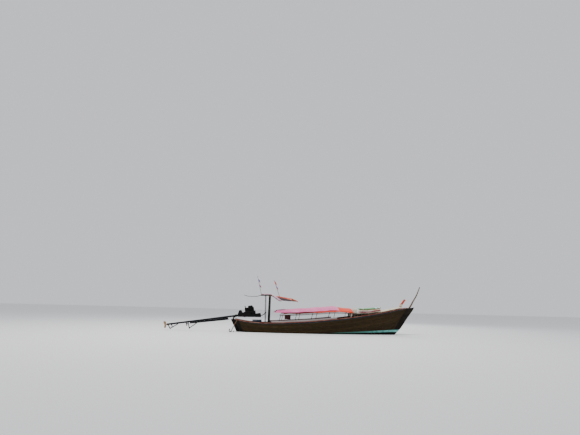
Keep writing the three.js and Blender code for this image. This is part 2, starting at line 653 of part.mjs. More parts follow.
function swivel() {
  const plateTop = SOCKET.low + GAP + SOCKET.plate;
  const plate = box(YAW_X - 95, YAW_X + 75, -SOCKET.half, SOCKET.half, SOCKET.low + GAP, plateTop);
  const pin = bar(vec(YAW_X, 0, plateTop - 2), vec(YAW_X, 0, SOCKET.top), SOCKET.pin, 16);
  add('pivot_socket', join(plate, pin), COLORS.steel);

  const sleeve = bar(vec(YAW_X, 0, FORK.low), vec(YAW_X, 0, FORK.sleeve + 2), FORK.base, 16);
  const outer = FORK.inner + FORK.thick;
  const crossbar = box(YAW_X - FORK.half, YAW_X + FORK.half, -outer, outer, FORK.sleeve, FORK.bar);
  const arm = [
    [YAW_X - FORK.half, FORK.sleeve],
    [YAW_X + FORK.half, FORK.sleeve],
    [TILT.x + FORK.eye, TILT.z - FORK.eye],
    [TILT.x + FORK.eye, TILT.z + FORK.eye],
    [TILT.x - FORK.eye, TILT.z + FORK.eye],
    [YAW_X - FORK.half, FORK.bar + FORK.eye],
  ];
  const arms = [1, -1].map((side) => {
    return sideProfile(arm, FORK.thick / 2).translate(0, side * (FORK.inner + FORK.thick / 2), 0);
  });
  const yoke = [sleeve, crossbar, ...arms].map(solid).reduce((a, b) => a.add(b))
    .subtract(hole(vec(YAW_X, 0, FORK.low - 10), vec(YAW_X, 0, FORK.bar + 10), SOCKET.pin + PIN.play))
    .subtract(hole(vec(TILT.x, -300, TILT.z), vec(TILT.x, 300, TILT.z), PIN.radius + PIN.play));
  add('swivel_fork', geometryOf(yoke), COLORS.steel);
}

// Lengths along the tail from the tilt pin, forward positive, with heights over the shaft line
const TUBE = { radius: 46, wall: 9, aft: -3600, fore: 300 };
const BED = { aft: 90, fore: 1300, inner: 190, outer: 212, cross: 28, crossAft: 62, floor: 500 };
// The bed's edges as x and z. The lower one is level at rest, and passes over the gunwales when it is steered
const BED_LOW = [[1300, -238], [90, -68]];
const BED_HIGH = [
  [90, 60], [185, 255], [300, 265], [345, 130], [425, 110], [440, 60], [740, 60], [760, -20], [1300, -20],
];
const ENGINE = { aft: 470, fore: 1000, half: 168, low: -20, high: 345 };
// The engine's feet on the bed, as x and z
const LUGS = [[600, 60], [860, -20]];
const PROP = {
  x: -3690, hub: 38, radius: 180, shaft: 14, chord: 150, thick: 9, pitch: rad(58), rake: rad(12),
};

const flatBar = ([x0, z0], [x1, z1], width, thick) => {
  const length = Math.hypot(x1 - x0, z1 - z0);
  const g = new THREE.BoxGeometry(length, thick, width);
  return g.rotateY(-Math.atan2(z1 - z0, x1 - x0)).translate((x0 + x1) / 2, 0, (z0 + z1) / 2);
};

function tail() {
  const group = new THREE.Group();
  group.position.set(TILT.x, 0, TILT.z);
  group.rotation.y = -TILT.slope;
  boat.add(group);
  const shaftHole = (radius) => hole(vec(TUBE.aft - 200, 0, 0), vec(TUBE.fore + 200, 0, 0), radius);

  const tubeSolid = solid(bar(vec(TUBE.aft, 0, 0), vec(TUBE.fore, 0, 0), TUBE.radius, 16))
    .subtract(hole(vec(TUBE.aft - 10, 0, 0), vec(TUBE.aft + 70, 0, 0), PROP.shaft + PIN.play))
    .subtract(hole(vec(TUBE.aft + 60, 0, 0), vec(TUBE.fore + 10, 0, 0), TUBE.radius - TUBE.wall));
  add('tail_tube', geometryOf(tubeSolid), COLORS.dark, group);

  const block = solid(box(-55, 55, -72, 72, -62, 62)).subtract(shaftHole(TUBE.radius + GAP));
  const pin = (side) => solid(bar(vec(0, side * 70, 0), vec(0, side * PIN.reach, 0), PIN.radius, 16));
  add('trunnion', geometryOf(block.add(pin(1)).add(pin(-1))), COLORS.steel, group);

  const railHalf = (BED.outer - BED.inner) / 2;
  const side = [...BED_HIGH, ...BED_LOW];
  const rails = [1, -1].map((s) => sideProfile(side, railHalf).translate(0, s * (BED.outer - railHalf), 0));
  const across = (x, low, high) => box(x, x + BED.cross, -BED.outer, BED.outer, low, high);
  const [[foreX, lowFore], [aftX, lowAft]] = BED_LOW;
  const lowAt = (x) => lerp(lowAft, lowFore, (x - aftX) / (foreX - aftX));
  const crossings = [
    across(BED.aft, lowAft, BED.crossAft),
    across(BED.fore - BED.cross, lowFore + 20, lowFore + 140),
    across(BED.floor, lowAt(BED.floor), lowAt(BED.floor) + BED.cross),
  ];
  const bed = solid(join(...rails, ...crossings)).subtract(shaftHole(TUBE.radius + GAP));
  add('engine_bed', geometryOf(bed), COLORS.steel, group);

  const lugs = LUGS.map(([x, z]) => box(x, x + 60, -BED.outer, BED.outer, z + GAP, z + 28));
  const crankcase = box(ENGINE.aft, ENGINE.fore, -ENGINE.half, ENGINE.half, ENGINE.low, ENGINE.high);
  const head = box(ENGINE.aft + 195, ENGINE.fore - 75, -105, 105, ENGINE.high - 5, ENGINE.high + 92);
  const sump = box(ENGINE.aft + 80, ENGINE.fore - 60, -130, 130, -105, ENGINE.low + 5);
  const pulley = bar(vec(ENGINE.fore - 5, 0, 60), vec(ENGINE.fore + 45, 0, 60), 105, 16);
  const pipeFoot = vec(ENGINE.aft + 60, -60, ENGINE.high - 10);
  const pipeHead = vec(ENGINE.aft + 42, -60, ENGINE.high + 110);
  const exhaust = bar(pipeFoot, pipeHead, 22, 10);
  add('engine_block', join(crankcase, head, sump, pulley, exhaust, ...lugs), COLORS.dark, group);

  const bell = bar(vec(ENGINE.aft - GAP, 0, 0), vec(TUBE.fore + 2 * GAP, 0, 0), 150, 16, 62);
  const clip = solid(box(TUBE.fore - 50, ENGINE.aft + 50, -BED.inner + 10, BED.inner - 10, -150, 200));
  add('bell_housing', geometryOf(solid(bell).intersect(clip)), COLORS.steel, group);

  const FILTER = { x: 820, z: 240, half: 90, radius: 62 };
  const filterY = ENGINE.half + GAP + FILTER.radius;
  const filterEnds = [-1, 1].map((s) => vec(FILTER.x + s * FILTER.half, filterY, FILTER.z));
  add('air_cleaner', bar(...filterEnds, FILTER.radius, 12), COLORS.steel, group);

  const HANDLE = [[BED.fore + 3 * GAP, -149], [1385, -146], [1485, -92], [1600, -8]];
  add('tiller', tube(HANDLE.map(([x, z]) => vec(x, 0, z)), 22, 10), COLORS.steel, group);

  const BRACE = [[-430, -132], [-690, -130], [-1850, -98], [-2420, -86]];
  const brace = [];
  for (let i = 0; i + 1 < BRACE.length; i++) {
    const [a, b] = [BRACE[i], BRACE[i + 1]].map(([x, z]) => vec(x, 0, z));
    brace.push(solid(bar(a, b, 28, 8)));
  }
  brace.push(solid(sideProfile([...BRACE, [BRACE.at(-1)[0], -20], [BRACE[0][0] + 20, -20]], 4)));
  const ball = ([x, z]) => solid(new THREE.SphereGeometry(29, 10, 8).translate(x, 0, z));
  const ends = BRACE.map(ball);
  const frame = [...brace, ...ends].reduce((a, b) => a.add(b)).subtract(shaftHole(TUBE.radius + GAP));
  add('tail_brace', geometryOf(frame), COLORS.dark, group);

  // Skeg brackets as bars, each from x, z to x, z
  const SKEGS = {
    aft: [[[-3550, -20], [-3462, -235]], [[-3470, -228], [-2990, -20]], [[-3385, -20], [-3345, -180]]],
    fore: [
      [[-2522, -20], [-2484, -345]], [[-2492, -336], [-2045, -96]],
      [[-2622, -20], [-2600, -190]], [[-2616, -100], [-2510, -100]],
    ],
  };
  for (const [name, bars] of Object.entries(SKEGS)) {
    const all = bars.map(([a, b]) => solid(flatBar(a, b, 38, 24))).reduce((a, b) => a.add(b));
    const cut = name === 'fore' ? shaftHole(TUBE.radius + GAP).add(frame) : shaftHole(TUBE.radius + GAP);
    add(`skeg_${name}`, geometryOf(all.subtract(cut)), COLORS.dark, group);
  }

  const hub = bar(vec(PROP.x + 70, 0, 0), vec(PROP.x - 60, 0, 0), PROP.hub, 16, PROP.hub * 0.6);
  const shaft = bar(vec(PROP.x + 60, 0, 0), vec(TUBE.aft + 55, 0, 0), PROP.shaft, 16);
  const blade = new THREE.Shape(polygon(PROP.radius / 2, PROP.chord / 2, 16));
  const blades = [1, -1].map((side) => {
    const g = new THREE.ExtrudeGeometry(blade, { depth: PROP.thick, bevelEnabled: false });
    g.translate(PROP.radius / 2, 0, -PROP.thick / 2).rotateY(-Math.PI / 2).rotateZ(PROP.pitch).rotateY(-PROP.rake);
    return g.rotateX(side > 0 ? 0 : Math.PI).translate(PROP.x, 0, 0);
  });
  add('propeller', join(hub, shaft, ...blades), COLORS.bronze, group);
}

// Stern rope from the aft deck over the starboard gunwale, and the grapnel that hangs on it
const ROPE = { radius: 12, steps: 48 };
const ROPE_LINE = [
  [-4372, -330, 451.6], [-4450, -350, 455], [-4520, -380, 500], [-4568, -408, 578], [-4590, -428, 630],
  [-4600, -447, 653.8], [-4612, -475, 655.8], [-4622, -499, 657.5], [-4635, -511, 638], [-4652, -516, 600],
  [-4700, -527, 505], [-4771.4, -536.1, 375.9], [-4800.8, -538.2, 312.4], [-4826, -540, 258],
];
const GRAPNEL = { shank: 250, thick: 19, tine: 18, ball: 33 };
// A tine from the crown outwards, as distances from the shank and back along it
const TINE = [[0, 0], [80, -42], [150, 0], [178, 92]];

function sternLine() {
  const line = ROPE_LINE.map((p) => vec(...p));
  const { aft, fore, inboard, outboard, height } = RAIL;
  const rail = alongSheer(aft, fore, -1, inboard + GAP, -outboard - GAP, 0, height + GAP);
  const rope = solid(tube(line, ROPE.radius, ROPE.steps)).subtract(solid(rail));
  add('stern_rope', geometryOf(rope), COLORS.tan);

  const end = line.at(-1);
  const along = end.clone().sub(line.at(-2)).normalize();
  const crown = end.clone().addScaledVector(along, GRAPNEL.shank);
  const ball = new THREE.SphereGeometry(GRAPNEL.ball, 10, 8).translate(...crown.toArray());
  const shank = bar(end.clone().addScaledVector(along, GAP), crown, GRAPNEL.thick, 8);
  let grapnel = solid(shank).add(solid(ball));
  const across = vec(0, 1, 0).cross(along).normalize();
  for (let i = 0; i < 4; i++) {
    const out = across.clone().applyAxisAngle(along, (i * Math.PI) / 2 + Math.PI / 4);
    const tine = TINE.map(([r, back]) => crown.clone().addScaledVector(out, r).addScaledVector(along, -back));
    grapnel = grapnel.add(solid(tube(tine, GRAPNEL.tine, 8, 6)));
  }
  add('grapnel', geometryOf(grapnel), COLORS.dark);
}

hull();
inside();
foredeck();
bow();
canopy();
helmRoof();
fittings();
swivel();
tail();
sternLine();

export default boat;
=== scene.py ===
# %% [markdown]
# A wooden longtail boat stands at its waterline with its engine tail lifted. The hull is planked over
# frames, a cloth canopy stands on hoops, and a long shaft carries the propeller. The CAD parts come in as a
# fixed frame, so each surface is finished or remodelled in its place and still fits the joints. Lengths are
# metres.

# %% Load the frame
import bpy
import bmesh
import math
from mathutils import Matrix, Vector, noise


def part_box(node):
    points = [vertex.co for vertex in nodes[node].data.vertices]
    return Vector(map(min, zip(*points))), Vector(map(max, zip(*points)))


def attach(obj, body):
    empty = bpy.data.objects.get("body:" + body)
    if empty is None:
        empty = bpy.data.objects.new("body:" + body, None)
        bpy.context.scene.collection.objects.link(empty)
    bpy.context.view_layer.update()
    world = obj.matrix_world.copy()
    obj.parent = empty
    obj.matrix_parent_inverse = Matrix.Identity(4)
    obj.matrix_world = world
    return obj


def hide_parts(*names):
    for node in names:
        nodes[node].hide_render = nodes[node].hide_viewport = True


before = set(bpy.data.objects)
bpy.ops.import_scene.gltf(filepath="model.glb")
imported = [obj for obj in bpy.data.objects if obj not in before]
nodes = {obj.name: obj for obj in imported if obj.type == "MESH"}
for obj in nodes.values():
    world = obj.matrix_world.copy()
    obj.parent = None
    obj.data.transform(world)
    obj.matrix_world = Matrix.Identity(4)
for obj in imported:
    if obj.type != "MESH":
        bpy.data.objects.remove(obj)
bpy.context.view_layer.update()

# %% [markdown]
# The camera stands low off the starboard quarter, far away, and looks a little up, so the boat sits small
# and under the middle of the picture. It could be turned by three angles, but a heading and a roll are
# easier to read and to mend one at a time.

# %% Camera
CAMERA_PLACE = Vector((-3.97, -25.09, 1.40))
CAMERA_YAW = math.radians(4.515)
CAMERA_PITCH = math.radians(10.856)
CAMERA_ROLL = math.radians(1.45)
LENS = 28.55


def placed_object(name, data):
    obj = bpy.data.objects.new(name, data)
    bpy.context.scene.collection.objects.link(obj)
    return obj


def make_camera():
    data = bpy.data.cameras.new("camera")
    data.lens = LENS
    data.sensor_width = 36
    data.clip_end = 300
    camera = placed_object("camera", data)
    level = math.cos(CAMERA_PITCH)
    ahead = Vector((math.sin(CAMERA_YAW) * level, math.cos(CAMERA_YAW) * level, math.sin(CAMERA_PITCH)))
    turn = ahead.to_track_quat("-Z", "Y").to_matrix().to_4x4() @ Matrix.Rotation(CAMERA_ROLL, 4, "Z")
    camera.matrix_world = Matrix.Translation(CAMERA_PLACE) @ turn
    bpy.context.scene.camera = camera


make_camera()
print("camera", [round(v, 2) for v in CAMERA_PLACE], "lens", LENS)

# %% [markdown]
# Every new piece passes through one helper: its forms are joined, and the mesh gets its finish, smooth
# shading with creases at sharp corners, a body to ride on, and the CAD node that it stands for. The steps
# could be typed out for each piece, but then one would be forgotten somewhere.

# %% Pieces
CREASE, CAST, SOFT = 38, 35, 180      # degrees between faces from which an edge is sharp
SIDES = (("port", 1), ("starboard", -1))
ACROSS, UP = Vector((0, 1, 0)), Vector((0, 0, 1))


def joined(forms):
    """One bmesh out of several, which are freed."""
    bm = bmesh.new()
    for form in forms:
        mesh = bpy.data.meshes.new("part")
        form.to_mesh(mesh)
        form.free()
        bm.from_mesh(mesh)
        bpy.data.meshes.remove(mesh)
    return bm


def piece(name, forms, body, finish, stands_for=(), crease=CREASE, place=None, flip_out=False):
    """Makes one bmesh, or a list of them, one piece of the boat."""
    bm = joined(forms) if isinstance(forms, list) else forms
    if place is not None:
        bmesh.ops.transform(bm, matrix=place, verts=bm.verts)
    if flip_out:
        bmesh.ops.remove_doubles(bm, verts=bm.verts, dist=1e-5)
        bmesh.ops.recalc_face_normals(bm, faces=bm.faces)
    mesh = bpy.data.meshes.new(name)
    bm.to_mesh(mesh)
    bm.free()
    obj = placed_object(name, mesh)
    mesh.materials.append(finish)
    mesh.shade_smooth()
    mesh.set_sharp_from_angle(angle=math.radians(crease))
    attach(obj, body)
    if stands_for:
        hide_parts(*([stands_for] if isinstance(stands_for, str) else stands_for))
    print(name, len(mesh.polygons), "faces")
    return obj


def hull_piece(name, forms, finish, stands_for=(), crease=CREASE):
    return piece(name, forms, "hull", finish, stands_for, crease)

# %% [markdown]
# Shader maths could be wired one node and two links at a time, which hides what is worked out. Here a flow
# is a socket with its tree, and adding or multiplying flows adds the nodes, so the maths reads as plain
# sums.

# %% Flows
class Flow:
    def __init__(self, tree, socket):
        self.tree, self.socket = tree, socket

    def __add__(self, other):
        return maths("ADD", self, other)

    def __sub__(self, other):
        return maths("SUBTRACT", self, other)

    def __rsub__(self, other):
        return maths("SUBTRACT", other, self)

    def __mul__(self, other):
        return maths("MULTIPLY", self, other)

    def __truediv__(self, other):
        return maths("DIVIDE", self, other)

    def ramp(self, low, high):
        """A smooth step from 0 at low to 1 at high."""
        return add(self.tree, "ShaderNodeMapRange", {0: self, 1: low, 2: high}, interpolation_type="SMOOTHSTEP")


def feed(tree, target, value):
    """Gives a socket a flow or a plain value."""
    if isinstance(value, Flow):
        tree.links.new(value.socket, target)
    else:
        target.default_value = value


def add(tree, kind, inputs=None, output=0, **settings):
    """Adds a node and gives the flow out of it."""
    made = tree.nodes.new(kind)
    for key, value in settings.items():
        setattr(made, key, value)
    for key, value in (inputs or {}).items():
        feed(tree, made.inputs[key], value)
    return Flow(tree, made.outputs[output])


def maths(operation, a, b=0.0):
    tree = (a if isinstance(a, Flow) else b).tree
    return add(tree, "ShaderNodeMath", {0: a, 1: b}, operation=operation)


def clamped(flow):
    flow.socket.node.use_clamp = True
    return flow


def mix(factor, a, b, blend="MIX"):
    tree = next(v.tree for v in (factor, a, b) if isinstance(v, Flow))
    made = add(tree, "ShaderNodeMix", data_type="RGBA", blend_type=blend).socket.node
    for socket, value in (("Factor_Float", factor), ("A_Color", a), ("B_Color", b)):
        feed(tree, next(s for s in made.inputs if s.identifier == socket), value)
    return Flow(tree, next(s for s in made.outputs if s.identifier == "Result_Color"))


def speckle(vector, scale, detail=3.0, rough=0.55, distort=0.0):
    settings = {"Vector": vector, "Scale": scale, "Detail": detail, "Roughness": rough, "Distortion": distort}
    return add(vector.tree, "ShaderNodeTexNoise", settings, "Fac")


def stretch(vector, scale, turn=(0, 0, 0)):
    return add(vector.tree, "ShaderNodeMapping", {"Vector": vector, "Scale": scale, "Rotation": turn})


def split(vector):
    made = add(vector.tree, "ShaderNodeSeparateXYZ", {0: vector}).socket.node
    return [Flow(vector.tree, socket) for socket in made.outputs]

# %% [markdown]
# Shader node groups hold what several finishes share. The nodes could be copied into each material, but
# then a change would have to be made in all of them. A group is built once, by a function that turns named
# inputs into a colour, a roughness and a height.

# %% Group helper
def make_group(name, inputs, build):
    """A node group; an input's default says its kind, and None is a vector."""
    group = bpy.data.node_groups.new(name, "ShaderNodeTree")
    for socket, value in inputs.items():
        kind = "Vector" if value is None else "Color" if isinstance(value, tuple) else "Float"
        made = group.interface.new_socket(name=socket, in_out="INPUT", socket_type=f"NodeSocket{kind}")
        if value is not None:
            made.default_value = value
    for socket, kind in (("Color", "Color"), ("Roughness", "Float"), ("Height", "Float")):
        group.interface.new_socket(name=socket, in_out="OUTPUT", socket_type=f"NodeSocket{kind}")
    given, out = group.nodes.new("NodeGroupInput"), group.nodes.new("NodeGroupOutput")
    results = build(*[Flow(group, given.outputs[socket]) for socket in inputs])
    for target, flow in zip(out.inputs, results):
        feed(group, target, flow)
    return group

# %% [markdown]
# Aged wood has long grain streaks, darker stains, and a bleached, dusty bloom where sun and salt have dried
# it. A picture of wood would repeat along a ten-metre hull, so the grain is a noise, stretched along the
# first axis of the vector that goes in, and never repeats.

# %% Wood group
def aged_wood(v, light, dark, bleach, bleached, deep, gloss):
    streaks = speckle(stretch(v, (1.2, 26, 26)), 2.2, 6, 0.62, 0.35)
    fine = speckle(stretch(v, (5, 150, 150)), 1.5, 3, 0.6)
    stains = speckle(stretch(v, (0.8, 1.6, 1.6)), 1.4, 4, 0.6, 0.6)
    grain = streaks * 0.7 + fine * 0.3
    color = mix(grain.ramp(0.34, 0.66), dark, light)
    color = mix(stains.ramp(0.5, 0.72) * 0.55, color, dark)
    bloom = speckle(v, 3.1, 5, 0.65).ramp(0.42, 0.75) * bleached
    color = mix(bloom, color, bleach)
    return color, clamped(gloss + bloom * 0.5 + fine * 0.2), grain * deep


WOOD = make_group("aged_wood", {
    "Vector": None, "Light": (0.3, 0.2, 0.1, 1), "Dark": (0.1, 0.06, 0.03, 1), "Bleach": (0.5, 0.45, 0.4, 1),
    "Bleached": 0.3, "Grain": 1.0, "Gloss": 0.3}, aged_wood)
print("wood group", len(WOOD.nodes), "nodes")

# %% [markdown]
# Worn paint is a coat that has faded in patches, with chips where the wood shows. Chips could be modelled,
# but they are thinner than a fingernail, so a noise decides where the colour under the coat shows, and
# lowers the surface there.

# %% Paint group
def worn_paint(v, coat, faded, under, fade, chips, gloss):
    patch = speckle(stretch(v, (1, 3, 3)), 2.6, 4, 0.6)
    color = mix(patch.ramp(0.4, 0.7) * fade, coat, faded)
    flake = speckle(stretch(v, (2.5, 9, 9)), 6.5, 7, 0.7, 0.3)
    chipped = (flake - (0.82 - chips * 0.3)).ramp(-0.01, 0.02)
    return mix(chipped, color, under), clamped(gloss + chipped * 0.35), flake * 0.25 - chipped * 0.6


PAINT = make_group("worn_paint", {
    "Vector": None, "Paint": (0.5, 0.1, 0.08, 1), "Faded": (0.6, 0.3, 0.28, 1), "Under": (0.1, 0.07, 0.05, 1),
    "Fade": 0.5, "Chips": 0.4, "Gloss": 0.4}, worn_paint)
print("paint group", len(PAINT.nodes), "nodes")

# %% [markdown]
# Oily iron is black paint over steel that rusts in blotches and collects dust on what faces up. The dust
# could be a second material on chosen faces, but reading which way the surface faces puts it on every shape
# at once.

# %% Iron group
def facing_up(tree):
    return split(add(tree, "ShaderNodeNewGeometry", output="Normal"))[2]


def rusty_iron(v, coat, rust, rusted, gloss):
    blotch = speckle(v, 9, 7, 0.66, 0.4)
    fine = speckle(v, 130, 3, 0.6)
    spots = (blotch - (0.78 - rusted * 0.42)).ramp(-0.03, 0.05)
    color = mix(spots, coat, mix(fine, rust, (0.05, 0.02, 0.012, 1)))
    dust = facing_up(v.tree).ramp(0.55, 1.0) * speckle(v, 5, 4).ramp(0.4, 0.8)
    color = mix(dust * 0.13, color, (0.2, 0.17, 0.14, 1))
    return color, clamped(gloss + spots * 0.4), blotch * 0.3 + fine * spots * 0.5


IRON = make_group("rusty_iron", {
    "Vector": None, "Paint": (0.02, 0.02, 0.025, 1), "Rust": (0.16, 0.06, 0.025, 1), "Rusted": 0.4,
    "Gloss": 0.4}, rusty_iron)
print("iron group", len(IRON.nodes), "nodes")

# %% [markdown]
# Cloth has threads that cross in two directions. Modelled threads would be millions of faces, so two waves
# cross in the piece's own UV map, which is laid out in metres. Sun fades the colour in soft patches, and
# dirt streaks run along it.

# %% Cloth group
def woven_cloth(v, dye, faded, dirt, fade, dirty, thread):
    waves = [maths("SINE", way * math.tau / thread) for way in split(v)[:2]]
    weave = waves[0] * waves[1]
    soft = speckle(v, 1.7, 4, 0.6, 0.5)
    color = mix(soft.ramp(0.35, 0.68) * fade, dye, faded)
    streak = speckle(stretch(v, (1.5, 7, 1)), 1.8, 5, 0.65)
    color = mix(streak.ramp(0.52, 0.78) * dirty, color, dirt)
    color = mix(weave.ramp(-0.2, -1.0) * 0.18, color, dirt)
    return color, clamped(soft * 0.1 + 0.8), weave * 0.25 + soft * 0.4


CLOTH = make_group("woven_cloth", {
    "Vector": None, "Dye": (0.6, 0.2, 0.3, 1), "Faded": (0.7, 0.5, 0.55, 1), "Dirt": (0.12, 0.09, 0.08, 1),
    "Fade": 0.5, "Dirty": 0.3, "Thread": 0.004}, woven_cloth)
print("cloth group", len(CLOTH.nodes), "nodes")

# %% [markdown]
# A material places one group and wires it to its own shader. Solid pieces could be unwrapped, but Object
# coordinates give wood, paint and iron a pattern without seams. Cloth and rope read the piece's UV map,
# because their pattern has to follow the folds.

# %% Materials from groups
GRAIN_TURNS = {1: (0, 0, math.pi / 2), 2: (0, math.pi / 2, 0)}
SPECULAR = 0.15


def srgb(red, green, blue):
    """A colour as read off a screen, 0 to 255, in the linear values that shaders take."""
    def linear(v):
        v /= 255
        return v / 12.92 if v <= 0.04045 else ((v + 0.055) / 1.055) ** 2.4
    return (linear(red), linear(green), linear(blue), 1)


def coordinates(tree, space="Object"):
    return add(tree, "ShaderNodeTexCoord", output=space)


def material(name, slot, group, values, bump, distance, axis=0, uv=False, metallic=0.0, sheen=0.0):
    made = bpy.data.materials.new(name)
    made.use_nodes = True
    made["slot"] = slot
    tree = made.node_tree
    shader = tree.nodes["Principled BSDF"]
    where = coordinates(tree, "UV" if uv else "Object")
    if axis:
        where = stretch(where, (1, 1, 1), GRAIN_TURNS[axis])
    color = add(tree, "ShaderNodeGroup", node_tree=group)
    placed = color.socket.node
    feed(tree, placed.inputs["Vector"], where)
    for key, value in values.items():
        placed.inputs[key].default_value = srgb(*value) if isinstance(value, tuple) else value
    height = Flow(tree, placed.outputs["Height"])
    lift = add(tree, "ShaderNodeBump", {"Height": height, "Distance": distance, "Strength": bump})
    for key, value in (("Base Color", color), ("Roughness", Flow(tree, placed.outputs["Roughness"])),
                       ("Normal", lift), ("Metallic", metallic), ("Sheen Weight", sheen),
                       ("Specular IOR Level", SPECULAR)):
        feed(tree, shader.inputs[key], value)
    return made


def wood(name, slot, light, dark, bleached=0.3, gloss=0.5, axis=0, bleach=(150, 140, 125), uv=False):
    values = {"Light": light, "Dark": dark, "Bleach": bleach, "Bleached": bleached, "Gloss": gloss}
    return material(name, slot, WOOD, values, 0.5, 0.004, axis, uv)


def paint(name, slot, coat, faded, under=(60, 45, 35), fade=0.5, chips=0.5, gloss=0.45, axis=0):
    values = {"Paint": coat, "Faded": faded, "Under": under, "Fade": fade, "Chips": chips, "Gloss": gloss}
    return material(name, slot, PAINT, values, 0.5, 0.003, axis)


def iron(name, slot, coat, rusted=0.4, gloss=0.45, rust=(92, 52, 30), metallic=0.0):
    values = {"Paint": coat, "Rust": rust, "Rusted": rusted, "Gloss": gloss}
    return material(name, slot, IRON, values, 0.4, 0.003, metallic=metallic)


def cloth(name, slot, dye, faded, fade=0.5, dirty=0.25, thread=0.005, dirt=(70, 55, 50), sheen=0.2):
    values = {"Dye": dye, "Faded": faded, "Dirt": dirt, "Fade": fade, "Dirty": dirty, "Thread": thread}
    return material(name, slot, CLOTH, values, 0.35, 0.002, uv=True, sheen=sheen)


timber = wood("timber", "bare_timber", (120, 98, 74), (58, 44, 32), 0.45)
timber_cross = wood("timber_cross", "bare_timber", (126, 103, 80), (62, 47, 34), 0.45, axis=1)
dark_timber = wood("dark_timber", "dark_timber", (28, 22, 14), (10, 8, 5), 0.05, 0.65)
pole_timber = wood("pole_timber", "pole_wood", (102, 80, 62), (58, 43, 32), 0.2, 0.6, axis=2)
black_timber = wood("black_timber", "black_timber", (26, 25, 24), (9, 9, 10), 0.1, 0.5, axis=2)
grey_timber = wood("grey_timber", "grey_timber", (122, 118, 122), (70, 66, 70), 0.4, 0.6, bleach=(176, 170, 172))
red_paint = paint("red_paint", "red_paint", (106, 52, 42), (138, 108, 94), fade=0.85, gloss=0.6)
pale_paint = paint("pale_paint", "pale_paint", (150, 140, 140), (128, 118, 112), fade=0.7, chips=0.55, gloss=0.6)
# A lighter copy of the pale paint, for the port washboard: painted light, so that its inner face, in the canopy's
# shade, reads as bright as the starboard board.
pale_paint_lit = paint("pale_paint_lit", "pale_paint", (198, 188, 192), (176, 168, 172), fade=0.6, chips=0.4, gloss=0.6)
horn_paint = paint("horn_paint", "orange_paint", (176, 66, 46), (190, 104, 80), (62, 40, 30), 0.4, 0.35, axis=2)
white_paint = paint("white_paint", "pole_wood", (196, 196, 190), (160, 156, 150), (70, 58, 46), 0.5, 0.4, axis=2)
maroon_paint = paint("maroon_paint", "maroon_paint", (46, 12, 15), (66, 26, 28), (40, 24, 20), 0.4, 0.35)
black_iron = iron("black_iron", "dark_steel", (8, 9, 10), 0.3, 0.6, (40, 26, 20))
engine_iron = iron("engine_iron", "engine_alloy", (5, 5, 6), 0.15, 0.6, (34, 24, 20))
bright_iron = iron("bright_iron", "engine_alloy", (54, 54, 56), 0.35, 0.4, metallic=0.5)
# The pink cloth's dark magenta streaks are partly dirt and partly painted shade in its creases.
pink_cloth = cloth("pink_cloth", "pink_cloth", (212, 92, 150), (232, 156, 194), 0.6, 0.45, 0.005, (158, 66, 108))
orange_cloth = cloth("orange_cloth", "orange_cloth", (224, 46, 20), (234, 92, 56), 0.5, 0.2)
print("materials", len(bpy.data.materials))

# %% [markdown]
# The hull's skin has a finish of its own. Its UV map counts metres along and strakes down from the sheer,
# so the seams, the tone of each plank and the stripe under the rail follow the planking. The boot-top paint
# could follow it too, but the real edge is straight, so it reads the height over the waterline.

# %% Hull planking finish
BOOT_TOP = (0.068, 0.050)      # height at amidships and slope of the turquoise stripe's upper edge
BOOT_LOW = (0.028, 0.031)      # the same for its lower edge, where the black bottom starts
SHEER_STRIPE = 0.36            # depth of the dark stripe under the rail, in strakes
STERN_FOOT, STERN_RAKE = 4.473, 0.487   # where the planks end aft: their place at z 0 and their slope
STERN_SHADE_EDGE = (0.20, 0.17)        # the painted shade at the stern fades out between these distances


def drift(where, scale, detail, reach):
    """A slow noise about zero."""
    return (speckle(where, scale, detail) - 0.5) * reach


def opened(made, space="Object"):
    """A finish's colour, its coordinates, and those split in three."""
    tree = made.node_tree
    placed = next(n for n in tree.nodes if n.type == "GROUP")
    where = coordinates(tree, space)
    return Flow(tree, placed.outputs["Color"]), where, *split(where)


def repainted(made, color):
    feed(made.node_tree, made.node_tree.nodes["Principled BSDF"].inputs["Base Color"], color)
    return made


def boot_stripe(color, where, x, z, wobble):
    """Turquoise over black, from the stem to where the stripe runs out amidships."""
    low, top = [x * slope + level for level, slope in (BOOT_LOW, BOOT_TOP)]
    reach = x + wobble * 12
    band = mix(speckle(where, 7, 6).ramp(0.45, 0.75), srgb(118, 192, 184), srgb(72, 134, 126))
    band = mix(reach.ramp(3.7, 0.9), band, srgb(58, 100, 90))
    band = mix(reach.ramp(0.8, 0.1), band, srgb(18, 18, 13))
    color = mix((z + wobble * 0.3 - top).ramp(0.004, -0.004), color, band)
    bottom = mix(speckle(where, 12, 6), srgb(6, 7, 6), srgb(18, 18, 14))
    return mix((z + wobble * 0.5 - low).ramp(0.006, -0.006), color, bottom)


def stem_material():
    made = wood("stem_timber", "dark_timber", (28, 22, 14), (10, 8, 5), 0.05, 0.65)
    color, where, x, _, z = opened(made)
    return repainted(made, boot_stripe(color, where, x, z, drift(where, 3.0, 4, 0.03)))


